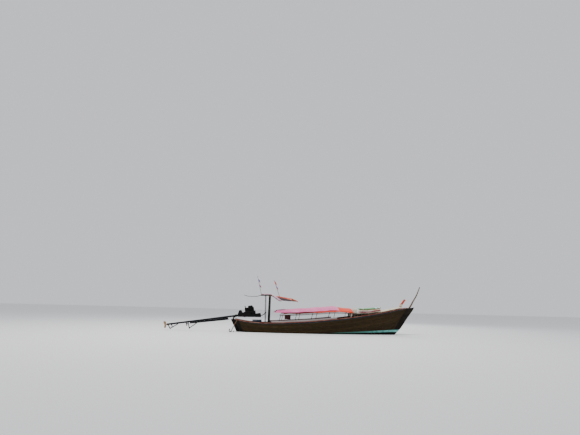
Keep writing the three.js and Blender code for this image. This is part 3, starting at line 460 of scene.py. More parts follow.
def planking_material(name, light, dark, outside):
    made = wood(name, "varnished_plank", light, dark, 0.06 if outside else 0.4, 0.6, uv=True)
    tree = made.node_tree
    color, _, along, across, _ = opened(made, "UV")
    # each strake is a band of whole numbers, so its part after the point runs 0 to 1 over the plank
    band, strake = maths("FRACT", across), maths("FLOOR", across)
    seam = maths("MINIMUM", band, 1.0 - band).ramp(0.055, 0.02)
    tone = speckle(add(tree, "ShaderNodeCombineXYZ", {0: along * 0.16, 1: strake * 7.3}), 1.0, 1.0)
    shade = add(tree, "ShaderNodeMapRange", {0: tone, 1: 0.35, 2: 0.65, 3: 0.72, 4: 1.25})
    grey = add(tree, "ShaderNodeCombineColor", {0: shade, 1: shade, 2: shade})
    color = mix(seam * 0.75, mix(1.0, color, grey, "MULTIPLY"), srgb(12, 10, 7))
    if outside:
        where = coordinates(tree)
        x, _, z = split(where)
        wobble = drift(where, 3.0, 4, 0.03)
        runs = speckle(stretch(where, (14, 14, 0.7)), 1.3, 4).ramp(0.52, 0.75) * (z - x * 0.06).ramp(0.55, 0.1)
        color = mix(runs * 0.5, color, srgb(74, 66, 46))
        navy = mix(speckle(where, 9, 5).ramp(0.45, 0.7), srgb(26, 44, 54), srgb(52, 70, 76))
        stripe = (across + wobble * 2.0).ramp(SHEER_STRIPE + 0.02, SHEER_STRIPE - 0.02)
        color = mix(stripe * 0.9, color, navy)
        # the last hand's breadths before the stern are darkened near black: painted shade, where the stern turns
        # into shadow
        stern_shade = (x + STERN_FOOT + z * STERN_RAKE + wobble).ramp(*STERN_SHADE_EDGE)
        color = boot_stripe(mix(stern_shade * 0.9, color, srgb(14, 13, 11)), where, x, z, wobble)
        # just over the floor the planks darken: painted shadow along the waterline
        waterline_shadow = (z + wobble * 1.6).ramp(0.05, 0.01)
        color = mix(waterline_shadow * 0.7, color, srgb(20, 24, 14))
    lift = next(n for n in tree.nodes if n.type == "BUMP").inputs["Height"]
    feed(tree, lift, Flow(tree, lift.links[0].from_socket) - seam * 1.2)
    return repainted(made, color)


# The outside planks' colours are varnished wood darkened to the hull's side in shade: painted shade.
shaded_hull_planking = planking_material("hull_planks", (60, 43, 13), (24, 17, 5), True)
hull_inside = planking_material("hull_inside", (104, 88, 64), (56, 44, 30), False)

# %% [markdown]
# The hull's lines are a short table of stations. Planks could be laid one by one, but each edge would have
# to be fitted to its neighbour. A smooth curve through each column gives a fair hull at any place instead,
# and each station's girth is shared out evenly, so all the strakes narrow together to the ends.

# %% Hull lines
# Columns: sheer x, sheer z, half beam, keel x, keel z, fullness
STATIONS = [
    (-4.78, 0.63, 0.42, -4.40, -0.15, 0.40),
    (-4.20, 0.53, 0.62, -3.95, -0.22, 0.34),
    (-3.40, 0.475, 0.775, -3.25, -0.28, 0.30),
    (-2.45, 0.50, 0.89, -2.40, -0.32, 0.27),
    (-1.60, 0.55, 0.945, -1.60, -0.34, 0.26),
    (-0.85, 0.605, 0.965, -0.85, -0.35, 0.26),
    (0.06, 0.70, 0.955, 0.0, -0.35, 0.27),
    (1.15, 0.83, 0.90, 0.95, -0.34, 0.31),
    (2.25, 1.00, 0.755, 1.85, -0.31, 0.39),
    (3.08, 1.14, 0.57, 2.55, -0.26, 0.50),
    (3.62, 1.245, 0.41, 3.02, -0.19, 0.60),
    (3.96, 1.315, 0.29, 3.34, -0.09, 0.70),
    (4.22, 1.36, 0.19, 3.60, 0.08, 0.80),
    (4.40, 1.385, 0.115, 3.87, 0.38, 0.90),
    (4.53, 1.405, 0.06, 4.20, 0.89, 1.0),
]
SIDING = 0.045                 # half the width over which the two sides meet at keel and stem
PLANK = 0.032                  # thickness of the planking
STRAKES = 10                   # planks on each side
SECTION_STEPS = 240
STERN_X, HEAD_X = STATIONS[0][0], STATIONS[-1][0]


def hermite(a, b, m, n, t):
    """A curve from a to b that leaves with slope m and arrives with slope n."""
    return a * (2 * t**3 - 3 * t**2 + 1) + m * (t**3 - 2 * t**2 + t) + b * (3 * t**2 - 2 * t**3) + n * (t**3 - t**2)


def fair(x, column):
    """A smooth curve through one column of the stations."""
    xs, values = [s[0] for s in STATIONS], [s[column] for s in STATIONS]
    i = min(max(sum(1 for v in xs if v <= x) - 1, 0), len(xs) - 2)

    def slope(k):
        a, b = max(k - 1, 0), min(k + 1, len(xs) - 1)
        return (values[b] - values[a]) / (xs[b] - xs[a])
    width = xs[i + 1] - xs[i]
    return hermite(values[i], values[i + 1], slope(i) * width, slope(i + 1) * width, (x - xs[i]) / width)


def section(x):
    """Points of one station from the sheer to the keel, with the girth down to each."""
    zs, b, xk, zk, q = (fair(x, c) for c in (1, 2, 3, 4, 5))
    points, girth = [], [0.0]
    for i in range(SECTION_STEPS + 1):
        u = (1 - i / SECTION_STEPS) ** 3
        points.append(Vector((xk + (x - xk) * u, SIDING + (b - SIDING) * u**q, zk + (zs - zk) * u)))
    for a, b in zip(points, points[1:]):
        girth.append(girth[-1] + (b - a).length)
    return points, girth


def on_section(points, girth, share):
    """The point at a share of the girth down from the sheer."""
    target = share * girth[-1]
    i = next((k for k, g in enumerate(girth) if g >= target), len(girth) - 1)
    if i == 0:
        return points[0].copy()
    return points[i - 1].lerp(points[i], (target - girth[i - 1]) / max(girth[i] - girth[i - 1], 1e-9))

# %% [markdown]
# Hull, sheets, flags and blades are flat grids laid over a surface. Their faces could be listed by hand,
# but the operator already makes them, so only the vertices move, and the grid's own two directions become
# the UV map.

# %% Laid grids
def laid(rows, columns, place, uv=lambda i, j: (0, 0)):
    """A grid of rows by columns faces; place(i, j) gives each vertex, uv(i, j) its texture point."""
    bm = bmesh.new()
    bmesh.ops.create_grid(bm, x_segments=rows, y_segments=columns, size=1)
    layer = bm.loops.layers.uv.new("UVMap")
    index = {v: (round((v.co.x + 1) / 2 * rows), round((v.co.y + 1) / 2 * columns)) for v in bm.verts}
    for face in bm.faces:
        for loop in face.loops:
            loop[layer].uv = uv(*index[loop.vert])
    for v, (i, j) in index.items():
        v.co = place(i, j)
    bm.normal_update()
    return bm


def thicken(obj, thickness, offset=-1.0, inner_finish=None):
    """Solidify, live; the inner faces may take a second finish."""
    solid = obj.modifiers.new("thickness", "SOLIDIFY")
    solid.thickness = thickness
    solid.offset = offset
    solid.use_even_offset = False
    if inner_finish is not None:
        obj.data.materials.append(inner_finish)
        solid.material_offset = 1
        solid.material_offset_rim = 0
    return obj

# %% [markdown]
# Each side of the hull is one laid skin. A bump alone could draw its seams, but low light would pass over
# them. Three rows of vertices at every strake's edge sink the middle one a little, so each seam is a real
# groove, as it is where caulking has drawn in.

# %% Hull skin
SEAM_HALF = 0.03               # half a seam's width, in strakes
SEAM_DEEP = 0.0045
HULL_STEPS = 72


def strake_rows():
    """Strake coordinate and depth of each row from the sheer to the keel."""
    rows = [(0.0, 0.0)]
    for k in range(STRAKES):
        rows += [(k + 0.35, 0.0), (k + 0.7, 0.0)]
        if k < STRAKES - 1:
            rows += [(k + 1 - SEAM_HALF, 0.0), (k + 1, SEAM_DEEP), (k + 1 + SEAM_HALF, 0.0)]
    return rows + [(float(STRAKES), 0.0)]


def hull_side(name, side, stands_for=()):
    rows = strake_rows()
    xs = [STERN_X + (HEAD_X - STERN_X) * i / HULL_STEPS for i in range(HULL_STEPS + 1)]
    lines = []
    for x in xs:
        points, girth = section(x)
        lines.append([on_section(points, girth, v / STRAKES) for v, _ in rows])

    def place(i, j):
        p = lines[i][j].copy()
        p.y = side * (p.y - rows[j][1])
        return p
    bm = laid(HULL_STEPS, len(rows) - 1, place, lambda i, j: (xs[i], rows[j][0]))
    middle = max(bm.faces, key=lambda f: f.calc_area())
    if middle.normal.y * side < 0:
        bmesh.ops.reverse_faces(bm, faces=bm.faces)
    return thicken(hull_piece(name, bm, shaded_hull_planking, stands_for, 60), PLANK, -1.0, hull_inside)


hull_sides = {"port": hull_side("planking_port", 1), "starboard": hull_side("planking_starboard", -1, "hull_shell")}
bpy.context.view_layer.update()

# %% [markdown]
# Rails and boards follow the sheer with a shaped section. A curve with a bevel could do that, but it tilts
# its section where the line bends. Here the section is a small closed loop with rounded corners, carried
# through frames that keep it upright, by extruding its edges.

# %% Sweeping along a line
def swept(frames, loop):
    """Sweeps a closed loop of (a, b) through frames of (origin, a axis, b axis) and caps both ends."""
    bm = bmesh.new()
    layer = bm.loops.layers.uv.new("UVMap")
    origin, a_axis, b_axis = frames[0]
    ring = [bm.verts.new(origin + a_axis * a + b_axis * b) for a, b in loop]
    edges = [bm.edges.new((ring[i], ring[(i + 1) % len(ring)])) for i in range(len(ring))]
    girth = [0.0]
    for (a0, b0), (a1, b1) in zip(loop, loop[1:] + loop[:1]):
        girth.append(girth[-1] + math.hypot(a1 - a0, b1 - b0))
    row = {v: i for i, v in enumerate(ring)}
    travelled, last, station, first = 0.0, origin, {v: 0.0 for v in ring}, list(ring)
    for origin, a_axis, b_axis in frames[1:]:
        made = bmesh.ops.extrude_edge_only(bm, edges=edges)["geom"]
        new_verts = [g for g in made if isinstance(g, bmesh.types.BMVert)]
        near = {tuple(round(c, 6) for c in v.co): row[v] for v in ring}
        travelled += (origin - last).length
        last = origin
        for v in new_verts:
            row[v] = near[tuple(round(c, 6) for c in v.co)]
            station[v] = travelled
        for v in new_verts:
            a, b = loop[row[v]]
            v.co = origin + a_axis * a + b_axis * b
        ring = sorted(new_verts, key=lambda v: row[v])
        edges = [e for e in {e for v in ring for e in v.link_edges} if e.verts[0] in ring and e.verts[1] in ring]
    for face in bm.faces:
        rows = [row[corner.vert] for corner in face.loops]
        wrap = max(rows) == len(loop) - 1 and min(rows) == 0
        for corner in face.loops:
            r = row[corner.vert]
            corner[layer].uv = (station[corner.vert], girth[-1] if wrap and r == 0 else girth[r])
    bm.faces.new(first[::-1])
    bm.faces.new(ring)
    bmesh.ops.recalc_face_normals(bm, faces=bm.faces)
    return bm


def rounded(corners, radius, steps=3):
    """A closed loop of corners with each one cut round."""
    loop = []
    for i, corner in enumerate(corners):
        p = Vector(corner)
        before, after = Vector(corners[i - 1]) - p, Vector(corners[(i + 1) % len(corners)]) - p
        reach = min(radius, before.length * 0.45, after.length * 0.45)
        a, b = p + before.normalized() * reach, p + after.normalized() * reach
        for k in range(steps + 1):
            t = k / steps
            loop.append(tuple(a * (1 - t) ** 2 + p * 2 * t * (1 - t) + b * t**2))
    return loop

# %% [markdown]
# The gunwale is the red rail on the hull's edge, and the washboard is the low plank that stands on it.
# Straight boxes could be bent to the line, but a section swept along the sheer keeps its size and stays on
# the edge.

# %% Gunwales and washboards
# Corners are (distance in from the half beam, height over the sheer)
RAIL_CORNERS = [(0.040, 0.0003), (-0.020, 0.0003), (-0.020, 0.042), (0.040, 0.042)]
BOARD_CORNERS = [(0.034, 0.0425), (0.012, 0.0425), (0.012, 0.122), (0.034, 0.122)]


def along_sheer(xa, xb, steps, side, corners, radius):
    """A bar along the sheer."""
    frames = []
    for i in range(steps + 1):
        x = xa + (xb - xa) * i / steps
        frames.append((Vector((x, side * fair(x, 2), fair(x, 1))), ACROSS * -side, UP))
    return swept(frames, rounded(corners, radius))


# The port washboard takes the lighter copy of the pale paint: painted light against the canopy's shade on its inner
# face.
for name, side in SIDES:
    hull_piece(f"rail_{name}", along_sheer(-4.77, 4.52, 90, side, RAIL_CORNERS, 0.014), red_paint, f"gunwale_{name}")
    hull_piece(f"wash_{name}", along_sheer(-2.88, 0.52, 40, side, BOARD_CORNERS, 0.006),
               pale_paint if side < 0 else pale_paint_lit, f"washboard_{name}")

# %% [markdown]
# Decks and floors are planked. A texture could draw the gaps, but no light would fall through them. A copy
# of the CAD board is merged, cut by planes a few millimetres apart, and the slivers between the cuts are
# taken out, so real gaps run between the boards.

# %% Planked boards
def planked(name, cad_node, finish, axis, pitch, gap=0.006):
    """Cuts a copy of a CAD node into boards across one axis."""
    bm = bmesh.new()
    bm.from_mesh(nodes[cad_node].data)
    bmesh.ops.remove_doubles(bm, verts=bm.verts, dist=1e-5)
    low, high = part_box(cad_node)
    normal = Vector([float(i == axis) for i in range(3)])
    at = low[axis]
    edges = [at]
    while at < high[axis]:
        at += pitch
        edges.append(min(at, high[axis]))
    boards = []
    for a, b in zip(edges, edges[1:]):
        board = bm.copy()
        for point, way in ((a + gap / 2, -1), (b - gap / 2, 1)):
            cut = bmesh.ops.bisect_plane(board, geom=board.verts[:] + board.edges[:] + board.faces[:],
                                         plane_co=normal * point, plane_no=normal * way, clear_outer=True)
            rim = [g for g in cut["geom_cut"] if isinstance(g, bmesh.types.BMEdge)]
            if rim:
                bmesh.ops.holes_fill(board, edges=rim)
        boards.append(board)
    bm.free()
    return hull_piece(name, boards, finish, cad_node, 30)


def deck_material():
    """Cream paint, darkened to dark timber along the deck's edges aft of its fore part: painted shade, for the
    shadow gap between the rail and the deck.
    """
    made = paint("deck_paint", "cream_plank", (206, 194, 170), (176, 160, 138), (88, 70, 54), 0.6, 0.55, 0.6)
    color, where, x, y, _ = opened(made)
    wander = drift(where, 4, 4, 0.2)
    out = (maths("ABSOLUTE", y) + wander * 0.3).ramp(0.40, 0.46)
    # the dark edge is painted shade
    return repainted(made, mix(out * (x + wander).ramp(3.05, 2.65) * 0.93, color, srgb(40, 31, 25)))


planked("deck_boards", "foredeck", deck_material(), 1, 0.12)
planked("aft_boards", "aft_deck", timber_cross, 0, 0.135)
planked("sole_boards", "floorboards", timber, 1, 0.13, 0.008)
for i, pitch in enumerate((0.08, 0.08, 0.08, 0.08, 0.097)):
    planked(f"seat_boards_{i + 1}", f"thwart_{i + 1}", timber_cross, 0, pitch, 0.005)

# %% [markdown]
# The stem, keel and sternpost are heavy timbers with plain faces. They could be remodelled, but their CAD
# shapes are already right, so they only get a finish. The frames show plain timber, and the transom takes
# a varnished wood finish with its grain across.

# %% Carried timbers
transom_wood = wood("transom_wood", "varnished_plank", (70, 58, 36), (34, 27, 15), 0.2, 0.45, axis=1)
for name, finish in (("keel", dark_timber), ("sternpost", dark_timber), ("stem", stem_material()),
                     ("frames", timber), ("transom", transom_wood), ("pivot_socket", black_iron),
                     ("swivel_fork", black_iron), ("trunnion", black_iron), ("engine_bed", black_iron)):
    nodes[name].data.materials.clear()
    nodes[name].data.materials.append(finish)

# %% [markdown]
# Poles, pipes and cords are all bars. A curve with a bevel depth could make them, but it would have to
# become a mesh in the end. So a round section is swept along a smooth line through a few points, and its
# side direction is carried on from point to point, so that it doesn't twist.

# %% Bars
def turns(count, ends=0, shift=0.0):
    """Evenly spaced angles round a circle; ends=1 comes back to the first."""
    return [math.tau * (k + shift) / count for k in range(count + ends)]


def oval(sides=12, flat=1.0):
    return [(math.cos(a), flat * math.sin(a)) for a in turns(sides)]


def curve_points(points, steps):
    """Points along a smooth curve through the given ones."""
    path = [Vector(p) for p in points]
    path = [path[0] * 2 - path[1], *path, path[-1] * 2 - path[-2]]
    made = []
    for i in range(1, len(path) - 2):
        a, b, c, d = path[i - 1 : i + 3]
        before, here, after = ((q - p).length ** 0.5 for p, q in ((a, b), (b, c), (c, d)))
        m = ((b - a) / before - (c - a) / (before + here) + (c - b) / here) * here
        n = ((c - b) / here - (d - b) / (here + after) + (d - c) / after) * here
        made += [hermite(b, c, m, n, k / steps) for k in range(steps)]
    return made + [path[-2]]


def heading(path, i):
    return (path[min(i + 1, len(path) - 1)] - path[max(i - 1, 0)]).normalized()


def carried(across, ahead):
    """A side direction carried on along a path, square to the new heading."""
    return (across - ahead * across.dot(ahead)).normalized()


def bar(points, radius, sides=10, steps=1, flat=1.0):
    """A round bar along points. The radius is one number, or one for each of the bar's ends."""
    path = curve_points(points, steps) if steps > 1 else [Vector(p) for p in points]
    start, end = radius if isinstance(radius, tuple) else (radius, radius)
    frames, across = [], None
    for i, p in enumerate(path):
        ahead = heading(path, i)
        if across is None:
            across = ahead.orthogonal().normalized() if abs(ahead.y) > 0.9 else ACROSS.cross(ahead).normalized()
        across = carried(across, ahead)
        size = start + (end - start) * i / (len(path) - 1)
        frames.append((p, across * size, ahead.cross(across) * size))
    return swept(frames, oval(sides, flat))

# %% [markdown]
# Hoops and rails are thin poles, bent green and lashed. Straight pieces with joints would be simpler, but a
# bent pole has no corners. Each hoop leans forward and its crown is a flattened arch; the CAD legs and
# arches give the points of a smooth curve.

# %% Canopy frame
HOOPS = (-2.40, -1.52, -0.62, 0.33, 1.25)
EDGE_HIGH = (0.479, 0.467, 0.455, 0.424, 0.282)   # the arch's ends over the sheer, at each hoop
CROWN = (0.187, 0.210, 0.230, 0.242, 0.179)       # the crown over the arch's ends
HOOP_LEAN, HOOP_HALF, HOOP_FOOT, FOOT_LOW = 0.12, 0.77, 0.062, -0.023
HOOP_RADIUS, RAIL_SHARE = 0.0135, 0.8             # the rails cross the legs at this share of their height
RAIL_DROP = (HOOP_RADIUS + 0.012) * 0.88
HOOP_TOPS = [x + HOOP_LEAN for x in HOOPS]


def linear_station(x, column):
    """A station value straight between the table's rows, as the CAD hull has it."""
    for a, b in zip(STATIONS, STATIONS[1:]):
        if x <= b[0]:
            break
    return a[column] + (b[column] - a[column]) * ((x - a[0]) / (b[0] - a[0]))


def along_hoops(x, values):
    """A hoop value straight between the hoops' tops."""
    i = min(max(sum(1 for top in HOOP_TOPS if top <= x) - 1, 0), len(HOOP_TOPS) - 2)
    return values[i] + (values[i + 1] - values[i]) * (x - HOOP_TOPS[i]) / (HOOP_TOPS[i + 1] - HOOP_TOPS[i])


def edge_z(x):
    return linear_station(x, 1) + along_hoops(x, EDGE_HIGH)


def leg_point(x, t, side):
    low = linear_station(x, 1) + FOOT_LOW
    y = linear_station(x, 2) - HOOP_FOOT
    return Vector((x + HOOP_LEAN * t, side * (y + (HOOP_HALF - y) * t), low + (edge_z(x + HOOP_LEAN) - low) * t))


def crown_z(x, t, lift=0.0):
    """Height of the arch over the edge line at t, from -1 to starboard to 1 at port."""
    return lift + along_hoops(x, CROWN) * (1 - abs(t) ** 2.4)


for i, (x, top) in enumerate(zip(HOOPS, HOOP_TOPS)):
    legs = [[leg_point(x, t, side) for t in (0.012, 0.4, 0.8)] for side in (-1, 1)]
    crown = [Vector((top, HOOP_HALF * t, edge_z(top) + crown_z(top, t))) for t in [k / 4 - 1 for k in range(9)]]
    hull_piece(f"hoop_{i + 1}", bar(legs[0] + crown + legs[1][::-1], HOOP_RADIUS, 10, 4),
               white_paint if i == 4 else pole_timber, f"canopy_hoop_{i + 1}")
for name, side in SIDES:
    points = [leg_point(x, RAIL_SHARE, side) - ACROSS * side * RAIL_DROP for x in HOOPS]
    points = [points[0] + Vector((-0.09, 0, -0.004)), *points, points[-1] + Vector((0.06, 0, 0.008))]
    hull_piece(f"side_rail_{name}", bar(points, 0.0118, 10, 4), pole_timber, f"canopy_rail_{name}")

# %% [markdown]
# Cord lashings hold rails to hoops. Plain rings could stand for them, but the slant of the turns would be
# lost. One lashing is a few turns of thin cord round both poles, made by sweeping a small circle along a
# tight helix.

# %% Lashings
rope_fibre = cloth("lashing_cord", "tan_rope", (138, 100, 70), (170, 136, 104), 0.5, 0.35, 0.006)
TURN_STEPS = 10


def lashing(centre, axis, radius, rounds=4, cord=0.003, wide=None):
    """Turns of cord round an axis; wide stretches the coil into an oval."""
    centre, axis = Vector(centre), Vector(axis).normalized()
    across = axis.orthogonal().normalized() if wide is None else carried(Vector(wide), axis)
    other = axis.cross(across)
    spread = 1.0 if wide is None else 1.7
    points = []
    for k in range(rounds * TURN_STEPS + 1):
        angle = math.tau * k / TURN_STEPS
        along = (k / (rounds * TURN_STEPS) - 0.5) * rounds * cord * 2.1
        around = across * math.cos(angle) * radius * spread + other * math.sin(angle) * radius
        points.append(centre + axis * along + around)
    return bar(points, cord, 5)


hull_piece("rail_lashings", [
    lashing(leg_point(x, RAIL_SHARE, side) - ACROSS * side * RAIL_DROP / 2, (0.25, 0, 1), 0.0175, 4, 0.003, ACROSS)
    for x in HOOPS for side in (-1, 1)], rope_fibre)

# %% [markdown]
# A canopy is one continuous cloth. A cloth run could drape it, but its folds couldn't be placed. So a grid
# rises over each hoop and sags between them, its edge hangs in shallow scallops, and small creases run from
# the hoops where it is pulled. Its UV map is its flat cut.

# %% Canopy sheets
CLOTH_THICK = 0.003


def ripple(x, y, z):
    return noise.noise(Vector((x, y, z)))


def map_by_place(bm, uv):
    """Lays the UV map by each vertex's place."""
    layer = bm.loops.layers.uv.active
    for face in bm.faces:
        for loop in face.loops:
            loop[layer].uv = uv(loop.vert.co)


def face_area(bm):
    return sum(f.calc_area() for f in bm.faces)


def canopy_sheet(name, finish, aft, fore, half, lift, skirt, reach, seed, stands_for, wave, slant=0.0):
    """An arched cloth; half is its reach to each side, and skirt how far its edges hang. Its aft corners may
    be pulled aft by the slant."""
    rows, columns = 160, 64
    spans = [aft - 0.3, *[t for t in HOOP_TOPS if aft < t < fore], fore + 0.3]
    arch_share = 0.86 if skirt else 1.0

    def place(i, j):
        x = aft + (fore - aft) * i / rows
        t = 2 * j / columns - 1
        before = max(s for s in spans if s <= x)
        after = min(s for s in spans if s > x)
        sag = math.sin(math.pi * (x - before) / (after - before))
        side = math.copysign(1, t)
        hang = wave * ripple(x * 2.3, side * 5, seed)
        if abs(t) <= arch_share:
            s = reach * t / arch_share
            y, z = half * s, crown_z(x, s, lift)
            z -= 0.018 * sag * (1 - abs(s) ** 2)
            if not skirt:
                z -= hang * max(0.0, abs(t) - 0.8) * 2
        else:
            down = (abs(t) - arch_share) / (1 - arch_share)
            y = side * (half + 0.006 * math.sin(down * math.pi))
            z = lift - down * (skirt * (1.0 - 0.3 * sag) + hang)
        fold = ripple(x * 9.0, t * 1.4, seed) * 0.006 + ripple(x * 24.0, t * 2.5, seed + 3) * 0.003
        fold += ripple(x * 1.6, t * 11.0, seed + 7) * 0.007
        edge = min(1.0, max(0.0, (abs(t) - 0.55) / 0.45))
        y += side * (fold * edge * 1.4 - 0.008 * sag * edge) if t else 0
        z += fold * (1 - edge) * 0.8
        end = max(0.0, 1 - min(x - aft, fore - x) / 0.12)
        z -= 0.010 * end * end
        x -= slant * abs(t) ** 3 * max(0.0, 1 - (x - aft) / 0.9)
        return Vector((x, y, edge_z(x) + z))
    bm = laid(rows, columns, place)
    area = face_area(bm)
    width = area / (fore - aft)
    map_by_place(bm, lambda p: (p.x - aft, width * (0.5 + 0.5 * p.y / half)))
    obj = thicken(hull_piece(name, bm, finish, stands_for, SOFT), CLOTH_THICK)
    return obj, (width, fore - aft + slant), area


# Aft of amidships the orange cover darkens to a deep red: painted shade, for the shadow under the pink cover.
color, _, along, _, _ = opened(orange_cloth)
repainted(orange_cloth, mix(along.ramp(-0.15, -1.0) * 0.92, color, srgb(78, 20, 18)))
orange_cover, flat, _ = canopy_sheet("orange_cover", orange_cloth, -2.25, 1.39, 0.822, 0.022, 0.058, 1.0, 4.0,
                                     "orange_sheet", 0.02)
print("orange cover", [round(v, 3) for v in flat])
pink_cover, flat, area = canopy_sheet("pink_cover", pink_cloth, -2.58, 0.66, 0.842, 0.037, 0.0, 0.965, 9.0,
                                      "pink_sheet", 0.05, 0.14)
print("pink cover", [round(v, 3) for v in flat])

# %% [markdown]
# Sawn and forged parts are boxes and drums. The operators make them with knife-sharp edges, which no real
# part has, so a bevel rounds the edges as each one is made.

# %% Boxes and drums
def round_edges(bm, edges, width, segments=2):
    bmesh.ops.bevel(bm, geom=edges, offset=width, segments=segments, profile=0.5, affect="EDGES", material=-1)


def box(low, high, bevel=0.0, segments=2):
    """A box between two corners with its edges rounded."""
    bm = bmesh.new()
    low, high = Vector(low), Vector(high)
    size = Matrix.Diagonal((*(high - low), 1))
    bmesh.ops.create_cube(bm, size=1, matrix=Matrix.Translation((low + high) / 2) @ size)
    if bevel:
        round_edges(bm, bm.edges, bevel, segments)
    return bm


def drum(start, end, radius, sides=24, bevel=0.0, end_radius=None):
    """A round drum or a cone between two points, its rims rounded."""
    start, end = Vector(start), Vector(end)
    axis = end - start
    turn = UP.rotation_difference(axis.normalized()).to_matrix().to_4x4()
    bm = bmesh.new()
    bmesh.ops.create_cone(bm, cap_ends=True, segments=sides, radius1=radius,
                          radius2=radius if end_radius is None else end_radius, depth=axis.length,
                          matrix=Matrix.Translation((start + end) / 2) @ turn)
    if bevel:
        rims = [e for e in bm.edges if len(e.link_faces) == 2 and max(len(f.verts) for f in e.link_faces) > 4]
        round_edges(bm, rims, bevel)
    return bm

# %% [markdown]
# The stern rope is one free cord of a fixed length. It is hitched to an eye on the aft deck, climbs over
# the starboard rail, and hangs down the quarter to the grapnel. A smooth tube could carry a rope pattern,
# but its outline would be too clean, so three strands are a lobed section that turns as it is swept.

# %% Stern rope
ROPE_RADIUS = 0.012
ROPE_LINE = [Vector(p) for p in (
    (-4.372, -0.330, 0.4516), (-4.450, -0.350, 0.455), (-4.520, -0.380, 0.500), (-4.568, -0.408, 0.578),
    (-4.590, -0.428, 0.630), (-4.600, -0.447, 0.6545), (-4.612, -0.475, 0.6568), (-4.622, -0.499, 0.6580),
    (-4.635, -0.511, 0.638), (-4.652, -0.516, 0.600), (-4.700, -0.527, 0.505), (-4.7714, -0.5361, 0.3759),
    (-4.8008, -0.5382, 0.3124), (-4.826, -0.540, 0.258),
)]
ROPE_PITCH, ROPE_STEP, ROPE_CORNERS = 0.07, 0.006, 18
DECK_EYE = Vector((-4.350, -0.324, 0.4405))


def path_reach(path):
    """The way along a path to each of its points."""
    reach = [0.0]
    for a, b in zip(path, path[1:]):
        reach.append(reach[-1] + (b - a).length)
    return reach


def even_points(path, count):
    """The same line through points an equal way apart."""
    reach = path_reach(path)
    made, i = [], 0
    for k in range(count + 1):
        target = reach[-1] * k / count
        while i < len(path) - 2 and reach[i + 1] < target:
            i += 1
        made.append(path[i].lerp(path[i + 1], min(1.0, (target - reach[i]) / (reach[i + 1] - reach[i]))))
    return made


def laid_rope(line, radius):
    """A three-strand rope along a smooth curve, with its centreline and length."""
    curve = curve_points(line, 20)
    length = path_reach(curve)[-1]
    path = even_points(curve, round(length / ROPE_STEP))
    loop = []
    for angle in turns(ROPE_CORNERS):
        reach = radius * (0.80 + 0.20 * abs(math.cos(1.5 * angle)) ** 0.5)
        loop.append((reach * math.cos(angle), reach * math.sin(angle)))
    frames, across = [], ACROSS
    for i, p in enumerate(path):
        ahead = heading(path, i)
        across = carried(across, ahead)
        turn = Matrix.Rotation(math.tau * i * length / (len(path) - 1) / ROPE_PITCH, 3, ahead)
        frames.append((p, turn @ across, turn @ ahead.cross(across)))
    return swept(frames, loop), even_points(path, 34), length


rope_tan = cloth("rope_tan", "tan_rope", (124, 88, 60), (158, 126, 94), 0.5, 0.45, 0.005, (60, 44, 34))
bm, rope_path, rope_length = laid_rope(ROPE_LINE, ROPE_RADIUS)
stern_rope = hull_piece("stern_line", bm, rope_tan, "stern_rope", 70)
ring = [DECK_EYE + Vector((0.006 * math.sin(a), 0.026 * math.cos(a), 0.020 + 0.022 * math.sin(a)))
        for a in turns(20, 1)]
hull_piece("deck_eye", [
    box(DECK_EYE + Vector((-0.045, -0.028, 0)), DECK_EYE + Vector((0.045, 0.028, 0.008)), 0.003),
    bar(ring, 0.006, 8),
    *[drum(DECK_EYE + Vector((dx, 0, 0.006)), DECK_EYE + Vector((dx, 0, 0.014)), 0.008, 6, 0.0015)
      for dx in (-0.030, 0.030)],
], black_iron)
hitch_place = ROPE_LINE[0] + Vector((0.004, 0.001, 0.003))
hitch = hull_piece("rope_hitch", lashing(hitch_place, (0.9, 0.2, 0.1), 0.0125, 3, 0.0075), rope_tan)

# %% [markdown]
# The grapnel hangs from the rope's end: a shank with an eye, a forged crown, and four arms that curve back
# to flattened flukes. One arm could be modelled flat and turned; here each is built in its place, along the
# rope's own direction, so it hangs true.

# %% Grapnel
ARM_LINE = ((0.005, 0), (0.08, -0.040), (0.150, 0.002), (0.176, 0.082))   # out from the crown, and up from it
FLUKE = [(1, 0.4), (0, 1), (-1, 0.4), (-1, -0.4), (0, -1), (1, -0.4)]
rope_end = ROPE_LINE[-1]
hang = (rope_end - ROPE_LINE[-2]).normalized()
crown_place = rope_end + hang * 0.25
side_way = ACROSS.cross(hang).normalized()


def grapnel_arm(turn):
    out = Matrix.Rotation(turn, 3, hang) @ side_way
    arm = bar([crown_place + out * r - hang * back for r, back in ARM_LINE], (0.021, 0.014), 10, 6)
    wide = out.cross(hang)
    tip, heel = crown_place + out * 0.179 - hang * 0.094, crown_place + out * 0.150 - hang * 0.012
    normal = wide.cross((tip - heel).normalized()).normalized()
    rows = ((heel, 0.012, 0.006), (heel.lerp(tip, 0.45), 0.034, 0.006), (tip, 0.003, 0.0020))
    return [arm, swept([(p, wide * a, normal * b) for p, a, b in rows], FLUKE)]


hull_piece("grapnel_iron", [
    drum(rope_end + hang * 0.004, crown_place, 0.0185, 10, 0.0, 0.0165),
    *[drum(rope_end + hang * down, rope_end + hang * (down + high), size, 14, 0.003)
      for down, size, high in ((0.13, 0.023, 0.014), (0.222, 0.032, 0.034))],
    drum(crown_place - hang * 0.002, crown_place + hang * 0.028, 0.033, 14, 0.008, 0.020),
    *[form for k in range(4) for form in grapnel_arm(math.tau * k / 4 + math.pi / 4)],
], black_iron, "grapnel")
rope_eye = hull_piece("grapnel_eye", [
    drum(rope_end - hang * 0.002, rope_end + hang * 0.018, 0.024, 14, 0.005),
    lashing(rope_end - hang * 0.014, hang, 0.0125, 4, 0.0028)], black_iron)
tuple(rope_path[0])
[tuple(p) for p in rope_path]
print("stern rope", round(rope_length, 3))

